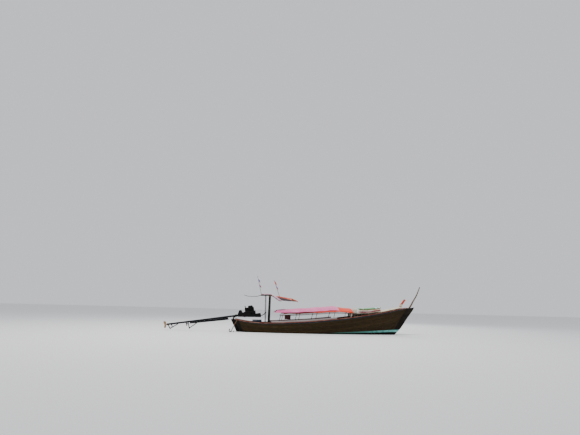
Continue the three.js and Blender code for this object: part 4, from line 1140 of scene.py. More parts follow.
# %% [markdown]
# The prow pole is a flattened, hand-hewn timber that tapers upwards, and the bow horn is a short painted
# post with a cloth tied at its foot. Plain cones would look turned on a lathe, so a noise moves their faces
# a little.

# %% Prow pole and bow horn
POLE = [(4.70, 0, 1.4406, 0.046), (4.80, 0, 1.585, 0.042), (4.905, 0, 1.775, 0.037), (5.02, 0, 1.955, 0.033),
        (5.125, 0, 2.135, 0.030), (5.215, 0, 2.335, 0.027), (5.32, 0, 2.59, 0.021)]


def square(half_a, half_b):
    return [(-half_a, -half_b), (half_a, -half_b), (half_a, half_b), (-half_a, half_b)]


def tapered_post(points, flat, seed, rough):
    """A hewn post through (x, y, z, half depth) points; flat is its width over its depth."""
    path = curve_points([p[:3] for p in points], 8)
    frames = []
    for i, p in enumerate(path):
        at = i / (len(path) - 1) * (len(points) - 1)
        k = min(int(at), len(points) - 2)
        size = points[k][3] + (points[k + 1][3] - points[k][3]) * (at - k)
        size *= 1 + rough * ripple(i * 0.35, seed, 0)
        ahead = heading(path, i)
        across = ACROSS.cross(ahead).normalized()
        frames.append((p, across * size, ahead.cross(across) * size * flat))
    return swept(frames, rounded(square(1, 1), 0.55, 4))


prow_wood = wood("prow_wood", "dark_timber", (112, 92, 76), (62, 48, 38), 0.4, 0.55, axis=2, bleach=(140, 128, 116))
bm = tapered_post(POLE, 0.62, 3.0, 0.06)
round_edges(bm, [e for e in bm.edges if len(e.link_faces) == 2 and e.calc_face_angle(0) > 1.2], 0.004)
hull_piece("prow_staff", bm, prow_wood, "prow_pole")


def deck_top(x, y=0.0):
    """Height of the foredeck's boards."""
    under = max(1.045 + 0.029 * (x - 1.42), linear_station(x, 1) + 0.0683)
    half = linear_station(x, 2) + 0.008
    return under + 0.030 + 0.035 * (1 - (y / half) ** 2)


HORN_X, HORN_SLOPE = 4.176, 0.66
HORN_FOOT = deck_top(4.172)
HORN = [(4.180, 0.0, HORN_FOOT + 0.004, 0.057), (4.262, 0.0, HORN_FOOT + 0.13, 0.052),
        (4.362, 0.0, HORN_FOOT + 0.27, 0.049), (4.458, 0.0, HORN_FOOT + 0.395, 0.050)]
hull_piece("horn_post", tapered_post(HORN, 0.8, 8.0, 0.05), horn_paint, "bow_horn")
bow_cloth = cloth("bow_cloth", "orange_paint", (226, 218, 188), (214, 190, 96), 0.7, 0.35, 0.004)


def cloth_turn(turn):
    """One turn of the cloth round the horn."""
    ring = []
    for angle in turns(32, 1):
        z = 0.045 + 0.019 * turn + 0.007 * math.sin(angle + turn * 2.1)
        reach = 0.061 - 0.04 * z + 0.004 * math.sin(angle * 3 + turn * 1.7)
        ring.append(Vector((HORN_X + HORN_SLOPE * z + reach * math.cos(angle), reach * 0.9 * math.sin(angle),
                            HORN_FOOT + z)))
    return bar(ring, 0.0115, 8)


hull_piece("horn_cloth", [cloth_turn(turn) for turn in range(5)], bow_cloth)

# %% [markdown]
# Each deck mat is a stuffed pad. A rounded box would be quicker, but it doesn't bulge like stuffing. So a
# slightly smaller closed form that follows the deck's camber is blown up by a cloth run of twenty frames,
# with every point's way capped. The sewn channels are pressed in afterwards.

# %% Deck mats
STACK_X, STACK_SPAN, STACK_HIGH = 1.90, 1.14, 0.240   # the stack's aft end, its length and its height there
MAT_FRAMES, MAT_VOXEL, MAT_CAP = 20, 0.017, 0.007
CHANNELS, CHANNEL_HALF = 6, 0.03


def mat_base(low_x, high_x, half, low, thick, seed):
    """A closed pad on the deck; low and thick are fractions of the stack's height."""
    bm = bmesh.new()
    bmesh.ops.create_cube(bm, size=2)
    bmesh.ops.subdivide_edges(bm, edges=bm.edges, cuts=7, use_grid_fill=True)
    for v in bm.verts:
        u, t, w = v.co
        pull = 1 - 0.016 * (1 - abs(t) ** 2) if abs(u) > 0.99 else 1.0
        tuck = 1 - 0.014 * (1 - abs(u) ** 2) if abs(t) > 0.99 else 1.0
        x = (low_x + high_x) / 2 + (high_x - low_x) / 2 * u * pull + 0.006 * ripple(t * 2, w, seed)
        y = half * t * tuck + 0.008 * ripple(u * 2, w, seed + 5)
        tall = STACK_HIGH + (0.190 - STACK_HIGH) * (x - STACK_X) / STACK_SPAN
        edge = max(abs(u), abs(t)) ** 8
        share = low + thick * (0.5 + 0.5 * w * (1 - 0.28 * edge))
        v.co = Vector((x, y, deck_top(x, y) + 0.002 + tall * share * (1 - 0.02 * edge)))
    round_edges(bm, [e for e in bm.edges if e.calc_face_angle(0) > 1.0], 0.010)
    return bm


def soften(obj, levels):
    smooth = obj.modifiers.new("soft", "SUBSURF")
    smooth.levels = smooth.render_levels = levels
    return smooth


def blow_up(obj):
    """Fills a closed piece like a cushion with a short cloth run, and caps how far each point may go."""
    remesh = obj.modifiers.new("voxels", "REMESH")
    remesh.mode = "VOXEL"
    remesh.voxel_size = MAT_VOXEL
    bpy.context.view_layer.objects.active = obj
    for other in bpy.context.selected_objects:
        other.select_set(False)
    obj.select_set(True)
    bpy.ops.object.modifier_apply(modifier=remesh.name)
    rest = [v.co.copy() for v in obj.data.vertices]
    fill = obj.modifiers.new("fill", "CLOTH")
    fill.settings.use_pressure = True
    fill.settings.uniform_pressure_force = 4.0
    fill.settings.effector_weights.gravity = 0
    fill.settings.quality = 4
    fill.point_cache.frame_start, fill.point_cache.frame_end = 1, MAT_FRAMES
    for frame_number in range(1, MAT_FRAMES + 1):
        bpy.context.scene.frame_set(frame_number)
    bpy.ops.object.modifier_apply(modifier=fill.name)
    bpy.context.scene.frame_set(1)
    for v, home in zip(obj.data.vertices, rest):
        way = v.co - home
        if way.length > MAT_CAP:
            v.co = home + way.normalized() * MAT_CAP
    bpy.ops.object.modifier_apply(modifier=soften(obj, 1).name)
    obj.data.shade_smooth()


def press_channels(obj, low_x, high_x, low, thick):
    """Draws the mat in along its sewn channels."""
    pitch = (high_x - low_x) / CHANNELS
    for v in obj.data.vertices:
        off = (v.co.x - low_x) / pitch
        away = abs(off - round(off)) * pitch
        if 0.5 < off < CHANNELS - 0.5 and away < CHANNEL_HALF:
            tall = STACK_HIGH - 0.05 * (v.co.x - STACK_X) / STACK_SPAN
            middle = deck_top(v.co.x, v.co.y) + tall * (low + thick / 2)
            v.co.z += (middle - v.co.z) * 0.22 * (1 - away / CHANNEL_HALF) ** 2


def between(flow, low, high, soft):
    """1 from low to high and 0 past them."""
    return flow.ramp(low - soft, low + soft) * flow.ramp(high + soft, high - soft)


def mat_material(name, colors, bands):
    """Stripes across the mat, by the boat's length, over the woven cloth."""
    made = cloth(name, "mat_fabric", *colors, 0.5, 0.3, 0.006)
    color, where, x, _, _ = opened(made)
    placed = next(n for n in made.node_tree.nodes if n.type == "GROUP")
    feed(made.node_tree, placed.inputs["Vector"], where)
    at = x + drift(where, 3, 3, 0.05)
    for low, high, shade in bands:
        color = mix(between(at, low, high, 0.006), color, srgb(*shade))
    return repainted(made, color)


MATS = [
    # low end, high end, half width, low and thick as shares of the stack, seed, colours, bands
    (1.915, 3.020, 0.366, 0.000, 0.280, 1.0, ((150, 70, 92), (196, 116, 136)), [(2.2, 2.5, (206, 150, 164))]),
    (1.925, 3.030, 0.372, 0.280, 0.280, 2.0, ((226, 218, 204), (240, 236, 228)), [(2.62, 2.8, (214, 186, 160))]),
    (1.940, 3.010, 0.362, 0.560, 0.135, 3.0, ((214, 160, 84), (226, 190, 128)), [(2.0, 2.1, (208, 120, 70))]),
    # On the green mat the two near-white bands are painted highlights; the light-blue band is a patch.
    (1.912, 3.026, 0.370, 0.700, 0.290, 4.0, ((88, 158, 104), (132, 190, 142)),
     [(2.70, 2.84, (190, 214, 224)), (2.90, 2.96, (226, 232, 232)), (2.02, 2.07, (206, 222, 214))]),
]
for i, (low_x, high_x, half, low, thick, seed, colors, bands) in enumerate(MATS):
    finish = mat_material(f"mat_cloth_{i + 1}", colors, bands)
    obj = hull_piece(f"mat_{i + 1}", mat_base(low_x, high_x, half, low, thick, seed), finish,
                     "deck_mats" if i == 0 else (), SOFT)
    blow_up(obj)
    press_channels(obj, low_x, high_x, low, thick)
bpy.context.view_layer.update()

# %% [markdown]
# The canister on the foredeck is a moulded can: a body with soft edges and two raised bands, a shoulder, a
# screw cap, and a grip with a hole for the hand. A turned profile would make it round, and it is square, so
# it is built of bevelled boxes.

# %% Canister
def node_corners(name):
    return [Vector(corner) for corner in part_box(name)]


can_plastic = paint("can_plastic", "cream_plastic", (226, 218, 200), (206, 194, 170), (120, 104, 84), 0.5, 0.12,
                    0.35)
low, high = node_corners("canister")
middle, shoulder = (low + high) / 2, high.z - 0.052
cap = Vector((low.x + 0.045, middle.y + 0.045, shoulder))


def can_box(shrink, z0, z1, bevel, segments):
    """A box with the can's outline, made smaller by shrink on each side."""
    return box((low.x + shrink, low.y + shrink, z0), (high.x - shrink, high.y - shrink, z1), bevel, segments)


grip = [(low.x + 0.035, shoulder), (low.x + 0.045, high.z - 0.016), (low.x + 0.085, high.z - 0.012),
        (high.x - 0.065, high.z - 0.012), (high.x - 0.045, high.z - 0.018), (high.x - 0.04, shoulder)]
hull_piece("cream_can", [
    can_box(0, low.z + 0.001, shoulder, 0.022, 4),
    *[can_box(-0.003, z - 0.007, z + 0.007, 0.005, 2) for z in (low.z + 0.06, shoulder - 0.05)],
    can_box(0.02, shoulder - 0.01, shoulder + 0.010, 0.008, 3),
    bar([(x, middle.y, z) for x, z in grip], 0.0115, 10, 4, 1.2),
    drum(cap, cap + UP * 0.034, 0.024, 20, 0.004),
    *[drum(foot, foot + UP * 0.020, 0.0022, 6)
      for foot in [cap + Vector((0.0235 * math.cos(a), 0.0235 * math.sin(a), 0.008)) for a in turns(12)]],
], can_plastic, "canister", 45)

# %% [markdown]
# The helm roof stands on dark posts. Its side beams run level, then slope down forward, and the ridge
# pole's crooked end reaches over the engine. Plain cylinders would look new, so each pole's radius and line
# wander a little, as hewn ones do.

# %% Helm roof frame
ROOF_HALF, ROOF_HIGH, ROOF_POLE = 0.60, 1.915, 0.018
SLOPES = {
    "port": [(-2.93, 1.915), (-1.72, 1.735), (-1.39, 1.610)],
    "starboard": [(-2.93, 1.915), (-2.79, 1.838), (-2.49, 1.642), (-2.37, 1.632)],
}
CROSS_XS, CROSS_HALF, CROSS_HIGH = (-3.425, -2.95), 0.64, 0.026
CROSS_LOW = ROOF_HIGH + ROOF_POLE + 0.0003
RIDGE_Z = CROSS_LOW + 0.003 - 0.017
RIDGE = [(-4.335, 0, 1.904), (-4.13, 0, 1.850), (-3.83, 0, 1.842), (-3.62, 0, 1.862), (-3.445, 0, RIDGE_Z),
         (-3.225, 0, RIDGE_Z), (-2.90, 0, RIDGE_Z)]


def slab(xs, half, zs, bevel, segments=2, y=0.0):
    """A box that reaches half to each side of y."""
    return box((xs[0], y - half, zs[0]), (xs[1], y + half, zs[1]), bevel, segments)


def hewn_pole(points, radius, seed, sides=10, steps=8, rough=0.05):
    """A pole whose line and thickness wander a little."""
    path = curve_points(points, steps)
    frames = []
    for i, p in enumerate(path):
        ahead = heading(path, i)
        across = (ACROSS if abs(ahead.y) < 0.9 else UP).cross(ahead).normalized()
        size = radius[0] + (radius[1] - radius[0]) * i / (len(path) - 1)
        size *= 1 + rough * ripple(i * 0.6, seed, 1.5)
        drop = UP * 0.12 * size * ripple(i * 0.31, seed, 7.1)
        frames.append((p + drop, across * size, ahead.cross(across) * size))
    return swept(frames, oval(sides))


def hewn_post(foot_x, head_x, inset, side, head_z, radius, seed):
    """A helm post, which leans in from the inwale to the roof."""
    foot_y = linear_station(foot_x, 2) - 0.035 - inset - 0.010
    foot = Vector((foot_x, side * foot_y, linear_station(foot_x, 1) - 0.018))
    head = Vector((head_x, side * ROOF_HALF, head_z))
    foot = foot.lerp(head, 0.006)
    return hewn_pole([foot, foot.lerp(head, 0.5), head], radius, seed)


for name, side in SIDES:
    y = side * ROOF_HALF
    thick_post = hewn_post(-2.985, -2.965, 0.042, side, 1.8968, (0.0415, 0.034), 2.0 + side)
    hull_piece(f"helm_post_{name}_timber", thick_post, black_timber, f"helm_post_{name}")
    hull_piece(f"roof_side_{name}", [
        hewn_pole([(x, y, ROOF_HIGH) for x in (-3.46, -3.20, -2.93)], (0.018, 0.0175), 5.0 + side),
        hewn_pole([(x, y, z) for x, z in SLOPES[name]], (0.0155, 0.013), 9.0 + side),
        hewn_post(-3.165, -3.19, 0.016, side, 1.905, (0.016, 0.0135), 12.0 + side),
    ], black_timber, f"roof_beam_{name}")
hull_piece("roof_ridge", [
    *[slab((x - 0.015, x + 0.015), CROSS_HALF, (CROSS_LOW, CROSS_LOW + CROSS_HIGH), 0.004) for x in CROSS_XS],
    hewn_pole(RIDGE, (0.0135, 0.0185), 21.0, 12, 6, 0.10)], grey_timber, "roof_crossframe")
ties = []
for x in CROSS_XS:
    ties += [lashing((x, side * ROOF_HALF, ROOF_HIGH + 0.014), (1, 0, 0), 0.021, 6, 0.0028, UP) for side in (-1, 1)]
    ties.append(lashing((x, 0, CROSS_LOW + 0.004), (0, 1, 0.2), 0.020, 5, 0.0028, UP))
for side in (-1, 1):
    ties += [lashing((-2.967, side * ROOF_HALF, 1.872), (0.02, 0, 1), 0.036, 5, 0.0030),
             lashing((-3.188, side * ROOF_HALF, 1.868), (0.02, 0, 1), 0.0165, 5, 0.0028)]
hull_piece("roof_lashings", ties, rope_fibre)

# %% [markdown]
# The roof cloth is one patched sheet. It lies level aft and sags between the sloping beams forward, and its
# side edges are rolled round the beams. The patches could be pieces of their own, but they are sewn into
# one sheet, so the finish lays them out by the boat's own length.

# %% Roof cloth
ROOF_LINES = [
    # starboard x and z, port x and z, sag
    (-3.400, 1.960, -3.400, 1.960, 0.0), (-3.180, 1.960, -3.180, 1.960, 0.0), (-2.930, 1.960, -2.930, 1.960, 0.0),
    (-2.790, 1.856, -2.560, 1.8752, 0.008), (-2.640, 1.7578, -2.140, 1.8126, 0.014),
    (-2.490, 1.660, -1.720, 1.754, 0.014), (-2.370, 1.647, -1.390, 1.628, 0.006),
]
ROOF_PATCHES = ((-2.62, -2.02, (196, 62, 40)), (-2.02, -1.72, (222, 128, 104)),
                (-1.72, -1.52, (112, 66, 50)), (-1.52, -1.30, (204, 70, 44)))
LAST = len(ROOF_LINES) - 1
ROWS, COLUMNS, ROLL_STEPS = 84, 40, 40
ROOF_WIDE = 1.21


def roof_point(s, t):
    """A point of the roof; s runs aft to forward in rows, t from starboard to port."""
    k = min(int(s), LAST - 1)
    row = [a + (b - a) * (s - k) for a, b in zip(ROOF_LINES[k], ROOF_LINES[k + 1])]
    x = row[0] + (row[2] - row[0]) * t
    z = row[1] + (row[3] - row[1]) * t - row[4] * 4 * t * (1 - t)
    return Vector((x, ROOF_HALF * (2 * t - 1), z))


def roof_cloth_material():
    made = cloth("roof_patchwork", "pink_cloth", (206, 166, 186), (226, 212, 220), 0.6, 0.35, 0.005,
                 (66, 50, 44), 0.0)
    color, where, true_x, true_y, _ = opened(made)
    wander = drift(where, 2.4, 4, 0.16)
    x, y = true_x + wander, true_y + wander * 0.5
    # faces that point down are darkened: painted shade on the cloth's underside
    underside_shade = mix(speckle(where, 4, 5).ramp(0.4, 0.7), srgb(40, 28, 26), srgb(84, 54, 48))
    color = mix(facing_up(made.node_tree).ramp(0.1, -0.2) * 0.92, color, underside_shade)
    # forward of the level part, all but the near edge is darkened near black: painted shade, for the sloping cloth's
    # shadowed underside
    slope_shade = mix(speckle(where, 5, 5).ramp(0.4, 0.7), srgb(22, 15, 16), srgb(56, 38, 38))
    color = mix(y.ramp(-0.50, -0.43) * x.ramp(-2.99, -2.90) * 0.97, color, slope_shade)
    color = mix(true_y.ramp(-0.555, -0.57) * x.ramp(-2.90, -2.99), color, srgb(92, 34, 56))
    far = y.ramp(0.36, 0.42)
    for low_x, high_x, shade in ROOF_PATCHES:
        color = mix(between(x, low_x, high_x, 0.02) * far, color, srgb(*shade))
    return repainted(made, color)


def roof_place(i, j):
    s, t = LAST * i / ROWS, j / COLUMNS
    p = roof_point(s, t)
    loose = math.sin(math.pi * t) * (1.0 if s > 1.6 else 0.35)
    p.z += 0.0075 + 0.010 * loose * ripple(p.x * 3.4, p.y * 2.6, 2.2)
    p.z += 0.004 * ripple(p.x * 13, p.y * 7, 5.0) * (0.4 + loose)
    end = max(0.0, s - (LAST - 0.4)) / 0.4
    p.x += 0.02 * end * ripple(p.y * 6, 3.0, 1.0)
    return p


def rolled_edge(t, start, size, shift, twist, flat):
    """A roll of cloth along an edge of the roof, from a share of its length to its fore end."""
    line = [roof_point(LAST * (start + (1 - start) * k / ROLL_STEPS), t) for k in range(ROLL_STEPS + 1)]
    frames = []
    for k, p in enumerate(line):
        ahead, reach = heading(line, k), size(k)
        turn = Matrix.Rotation(twist * k, 3, ahead)
        centre = p + Vector((0, shift[0], reach - shift[1]))
        frames.append((centre, turn @ ACROSS * reach, turn @ ahead.cross(ACROSS) * reach * flat[0]))
    return swept(frames, oval(12, flat[1]))


def near_size(k):
    """The near roll is thin aft and swells to a bundle on the slope."""
    swell = max(0.0, math.sin(math.pi * min(1.0, max(0.0, (k - 17) / 21)))) ** 0.8
    return (0.021 + 0.030 * swell) * (1 + 0.25 * ripple(k * 0.45, 1.0, 4.0))


def far_size(k):
    return 0.022 * (1 + 0.3 * ripple(k * 0.4, 6.0, 2.0)) * (0.5 + 0.5 * min(1.0, k / 6, (ROLL_STEPS - k) / 4 + 0.2))


roof_finish = roof_cloth_material()
bm = laid(ROWS, COLUMNS, roof_place)
map_by_place(bm, lambda p: (p.x, p.y))
roof_length = face_area(bm) / ROOF_WIDE
roof_cover = thicken(hull_piece("roof_cover", bm, roof_finish, "roof_cloth", SOFT), CLOTH_THICK)
roll_cloth = cloth("roll_cloth", "pink_cloth", (214, 150, 176), (236, 220, 226), 0.7, 0.35, 0.005)
roof_roll = hull_piece("roof_roll", rolled_edge(0.0, 0.0, near_size, (-0.004, 0.0065), 0.32, (0.85, 0.82)),
                       roll_cloth, crease=SOFT)
far_cloth = cloth("far_roll_cloth", "orange_cloth", (212, 66, 40), (226, 134, 108), 0.8, 0.4, 0.005, (90, 50, 40))
far_roll = hull_piece("roof_roll_port", rolled_edge(1.0, 0.46, far_size, (0.002, 0.004), 0.3, (1.0, 0.85)),
                      far_cloth, crease=SOFT)
print("roof cloth", ROOF_WIDE, round(roof_length, 3))

# %% [markdown]
# The flags are narrow striped cloths tied along their poles. A cloth run could blow them, but there is no
# wind to show. Each hangs limp, in soft folds laid on a grid, and its stripes are bands in its UV map.

# %% Flags
FLAG_WIDE, FLAG_DROOP, FLAG_TOP, STRIPE_REACH = 0.088, 0.060, 0.05, 0.56
FLAG_ROWS, FLAG_COLUMNS = 56, 16
FLAGS = [
    # foot, head, reach of the lowest tie from the head, and stripes as shares of the cloth's length
    (Vector((-3.428, 0, CROSS_LOW + CROSS_HIGH + 0.0003)), Vector((-3.665, 0, 2.95)), 0.610,
     [(0.0, 0.22, (226, 220, 232)), (0.22, 0.50, (70, 62, 140)), (0.50, 0.76, (230, 214, 224)),
      (0.76, 1.0, (120, 44, 66))]),
    (Vector((-2.387, 0.6234, 1.824)), Vector((-2.735, 0.6234, 2.77)), 0.500,
     [(0.0, 0.34, (226, 84, 84)), (0.34, 0.54, (214, 214, 236)), (0.54, 0.72, (112, 116, 190)),
      (0.72, 1.0, (206, 62, 64))]),
]


def flag_material(name, stripes):
    made = cloth(name, "flag_cloth", stripes[0][2], stripes[0][2], 0.2, 0.35, 0.003)
    color, _, _, down, _ = opened(made, "UV")
    for low_v, high_v, shade in stripes:
        band = between(down, low_v * STRIPE_REACH, high_v * STRIPE_REACH, 0.004)
        color = mix(band * 0.85, color, srgb(*shade))
    return repainted(made, color)


for i, (foot, head, reach, stripes) in enumerate(FLAGS):
    staff = hewn_pole([foot, foot.lerp(head, 0.5), head], (0.0105, 0.0085), 30.0 + i, 8, 10, 0.08)
    hull_piece(f"flag_staff_{i + 1}", staff, pole_timber, f"flagpole_{i + 1}")
    along = (head - foot).normalized()
    long = reach - FLAG_TOP

    def hang_place(r, c):
        down, out = r / FLAG_ROWS, c / FLAG_COLUMNS
        p = head - along * (FLAG_TOP + long * down)
        wave = 0.016 * out * math.sin(down * 9 + out * 3 + i) + 0.010 * out * ripple(down * 5, out * 2, i * 7.0)
        droop = FLAG_DROOP * out + 0.012 * out * ripple(down * 3, 1.0, i * 3.0)
        return Vector((p.x + 0.009 + (FLAG_WIDE - 0.012) * out, p.y + wave, p.z - droop))
    bm = laid(FLAG_ROWS, FLAG_COLUMNS, hang_place, lambda r, c: (0.11 * c / FLAG_COLUMNS, long * r / FLAG_ROWS))
    area = face_area(bm)
    finish = flag_material(f"flag_stripes_{i + 1}", stripes)
    flag = hull_piece(f"flag_{i + 1}_cloth", bm, finish, f"flag_{i + 1}", SOFT)
    thicken(flag, 0.0016, 0.0)
    tie_piece = hull_piece(f"flag_{i + 1}_ties", [
        lashing(head - along * (FLAG_TOP + long * share), along, 0.0115, 3, 0.0022)
        for share in (0.02, 0.34, 0.66, 0.98)], rope_fibre)
    area / long
    print("flag", i + 1, round(area / long, 3), round(long, 3))

# %% [markdown]
# The fuel tank is a plastic drum on its side, with hoops, a filler and four chocks under it. The red panel
# is a framed board that stands in the canopy's side. The plain CAD shapes would do from afar, but hoops,
# slats and rounded edges are what is seen close by.

# %% Tank and panel
def axle(xs, radius, sides, bevel=0.0, end_radius=None, y=0.0, z=0.0):
    """A drum or a cone along x."""
    return drum((xs[0], y, z), (xs[1], y, z), radius, sides, bevel, end_radius)


def ring_points(centre, across, up, radius, steps=28):
    centre, across, up = Vector(centre), Vector(across), Vector(up)
    return [centre + across * radius * math.cos(a) + up * radius * math.sin(a) for a in turns(steps, 1)]


tank_plastic = paint("tank_plastic", "black_plastic", (20, 26, 44), (44, 52, 70), (70, 72, 78), 0.5, 0.18, 0.32)
low, high = node_corners("fuel_tank")
middle, radius = (low + high) / 2, (high.z - low.z) / 2
hull_piece("tank_drum", [
    axle((low.x, high.x), radius - 0.002, 40, 0.018, y=middle.y, z=middle.z),
    *[bar(ring_points((x, middle.y, middle.z), ACROSS, UP, radius - 0.004, 40), 0.0052, 8)
      for x in (low.x + 0.05, middle.x - 0.09, middle.x + 0.09, high.x - 0.05)],
    *[drum(middle + Vector((dx, 0, radius - 0.01)), middle + Vector((dx, 0, radius + high_by)), size, sides, bevel)
      for dx, high_by, size, sides, bevel in ((0.16, 0.006, 0.028, 18, 0.003), (0, 0.005, 0.018, 12, 0.002))],
], tank_plastic, "fuel_tank", 45)
hull_piece("tank_chocks", [
    slab((x - 0.022, x + 0.022), 0.018, (low.z, low.z + 0.036), 0.004, y=middle.y + side * 0.085)
    for x in (low.x + 0.11, high.x - 0.11) for side in (-1, 1)], timber)

low, high = node_corners("side_panel")
EDGE = 0.022                   # width of the panel's frame
slats = [low.x + (high.x - low.x) * k / 4 for k in range(1, 4)]
hull_piece("red_board", [
    box(low + Vector((0.004, 0.003, 0.004)), high - Vector((0.004, 0.003, 0.004)), 0.002),
    *[box((low.x, low.y, z), (high.x, high.y - 0.001, z + EDGE), 0.003) for z in (low.z, high.z - EDGE)],
    *[box((x, low.y, low.z + 0.02), (x + EDGE, high.y - 0.001, high.z - 0.02), 0.003)
      for x in (low.x, high.x - EDGE)],
    *[box((x - 0.0035, low.y + 0.001, low.z + 0.02), (x + 0.0035, low.y + 0.004, high.z - 0.02), 0.001)
      for x in slats],
], maroon_paint, "side_panel")

# %% [markdown]
# The tail is modelled along its own shaft: x runs forward from the tilt pin, and one matrix tips it to its
# slope. The engine is a worn industrial diesel with fins, side covers, a valve cover, a grooved pulley and
# a short exhaust. One sculpted block could stand for it, but separate plates and bolts catch the light as a
# casting does.

# %% Engine
TILT_PIN = Vector((-4.72, 0, 0.815))
TAIL = Matrix.Translation(TILT_PIN) @ Matrix.Rotation(-math.radians(8.4), 4, "Y")
COVER_X, COVER_Z, PULLEY_Z = 0.86, 0.07, 0.06


def bolts(places, way, size=0.008, high=0.008):
    """Hexagon bolt heads that stand on a face."""
    way = Vector(way)
    return [drum(Vector(p) - way * 0.002, Vector(p) + way * high, size, 6, size * 0.16) for p in places]


def tail_piece(name, forms, finish, stands_for=(), crease=CAST):
    return piece(name, forms, "tail", finish, stands_for, crease, TAIL)


engine = [
    slab((0.472, 0.998), 0.160, (-0.018, 0.150), 0.022, 3),
    slab((0.484, 0.975), 0.140, (0.130, 0.328), 0.020, 3),
    slab((0.500, 0.960), 0.150, (0.322, 0.346), 0.008),
    *[slab((0.505, 0.952), 0.160, (z, z + 0.0055), 0.002, 1) for z in [0.165 + 0.018 * k for k in range(9)]],
    slab((0.556, 0.934), 0.124, (-0.100, 0.0), 0.024, 3),
    slab((0.548, 0.942), 0.136, (-0.030, -0.014), 0.004, 1),
]
for side in (-1, 1):
    way = (0, side, 0)
    rim = [(COVER_X + 0.046 * math.cos(a), side * 0.169, COVER_Z + 0.046 * math.sin(a)) for a in turns(6)]
    engine += [
        slab((0.53, 0.73), 0.005, (0.012, 0.128), 0.0045, y=side * 0.164),
        drum((COVER_X, side * 0.155, COVER_Z), (COVER_X, side * 0.170, COVER_Z), 0.058, 28, 0.004),
        *bolts([(x, side * 0.168, z) for x in (0.545, 0.63, 0.715) for z in (0.024, 0.116)], way, 0.007, 0.006),
        *bolts(rim, way, 0.006, 0.005),
    ]
engine += [
    slab((0.668, 0.925), 0.100, (0.340, 0.402), 0.010),
    slab((0.684, 0.908), 0.076, (0.396, 0.434), 0.018, 4),
    *[slab((x - 0.006, x + 0.006), 0.102, (0.350, 0.400), 0.002, 1) for x in (0.70, 0.76, 0.82, 0.88)],
    *bolts([(x, y, 0.345) for x in (0.515, 0.60, 0.945) for y in (-0.135, 0.135)], UP, 0.009, 0.010),
    drum((0.73, 0.0, 0.428), (0.73, 0.0, 0.438), 0.024, 20, 0.003),
]
for side in (-1, 1):
    for x, z in ((0.60, 0.06), (0.86, -0.02)):
        engine += [
            slab((x, x + 0.06), 0.026, (z + 0.0003, z + 0.026), 0.005, y=side * 0.186),
            *bolts([(x + 0.03, side * 0.196, z + 0.025)], UP, 0.010, 0.012),
            slab((x + 0.018, x + 0.042), 0.02, (z, z + 0.075), 0.006, y=side * 0.160),
        ]
tail_piece("engine_casting", engine, engine_iron, "engine_block")

GROOVES = ((0.996, 1.006, 0.104), (1.006, 1.012, 0.090), (1.012, 1.020, 0.104), (1.020, 1.026, 0.090),
           (1.026, 1.036, 0.104), (1.036, 1.043, 0.040))
tail_piece("engine_pulley", [
    *[axle((x0, x1 + 0.0004), r, 36, 0.0015, z=PULLEY_Z) for x0, x1, r in GROOVES],
    *[axle((1.034, 1.038), 0.019, 16, 0.001, y=0.062 * math.cos(a), z=PULLEY_Z + 0.062 * math.sin(a))
      for a in turns(5)],
    *bolts([(1.042, 0, PULLEY_Z)], (1, 0, 0), 0.016, 0.006),
], bright_iron)

rusty_pipe = iron("rusty_pipe", "engine_alloy", (30, 22, 18), 0.6, 0.75, (62, 36, 24))
tail_piece("exhaust_pipe", [
    bar([(0.62, -0.128, 0.290), (0.575, -0.100, 0.330), (0.535, -0.066, 0.352), (0.524, -0.060, 0.395),
         (0.514, -0.060, 0.450)], 0.0165, 14, 6),
    drum((0.526, -0.060, 0.372), (0.516, -0.060, 0.436), 0.0225, 20, 0.006),
    *[bar([(x, -0.128, 0.285), (x, -0.150, 0.290), (x - 0.01, -0.152, 0.315)], 0.0075, 8, 4)
      for x in (0.60, 0.66, 0.72)],
    bar([(0.595, -0.152, 0.318), (0.66, -0.153, 0.320), (0.735, -0.152, 0.314)], 0.0085, 8, 3),
], rusty_pipe, crease=CREASE)
tail_piece("engine_pipes", [
    *[bar([(x, 0.150, 0.205), (x + 0.004, 0.156, 0.262), (x + 0.002, 0.138, 0.318), (x - 0.005, 0.096, 0.362)],
          0.0035, 6, 5) for x in (0.69, 0.75, 0.81, 0.87)],
    box((0.665, 0.140, 0.176), (0.895, 0.166, 0.210), 0.006),
    bar([(0.665, 0.150, 0.19), (0.60, 0.154, 0.185), (0.565, 0.150, 0.120), (0.555, 0.150, 0.05)], 0.0045, 6, 5),
], bright_iron, crease=CREASE)

# %% [markdown]
# The bell housing is a cast cone with ribs, the air cleaner is a drum with clamp bands, and bolts fasten
# the bed. A spun profile could make the round parts, but ribs and bands would still be added, so all of
# them are drums and bars.

# %% Engine fittings
CLEANER_Y, CLEANER_Z = 0.168 + 0.0003 + 0.062, 0.24
BED_BOLTS = ((0.13, -0.02), (0.13, 0.04), (0.52, -0.09), (0.52, 0.03), (0.68, -0.11), (0.80, -0.10),
             (0.98, -0.13), (1.24, -0.07), (1.24, -0.19), (0.24, 0.18), (0.30, 0.06))


def bell_rib(angle):
    way, side_way = Vector((0, math.cos(angle), math.sin(angle))), Vector((0, -math.sin(angle), math.cos(angle)))
    rows = [(Vector((0.456, 0, 0)) + way * 0.138, 0.010), (Vector((0.306, 0, 0)) + way * 0.062, 0.008)]
    return swept([(p, side_way * 0.0045, way * r) for p, r in rows], square(1, 1))


tail_piece("bell_casting", [
    axle((0.4695, 0.3008), 0.149, 40, 0.004, 0.064),
    axle((0.4695, 0.452), 0.150, 40, 0.003),
    *[bell_rib(a) for a in turns(10, shift=0.5)],
    *bolts([(0.4515, 0.139 * math.cos(a), 0.139 * math.sin(a)) for a in turns(10)], (-1, 0, 0), 0.007, 0.006),
], engine_iron, "bell_housing")

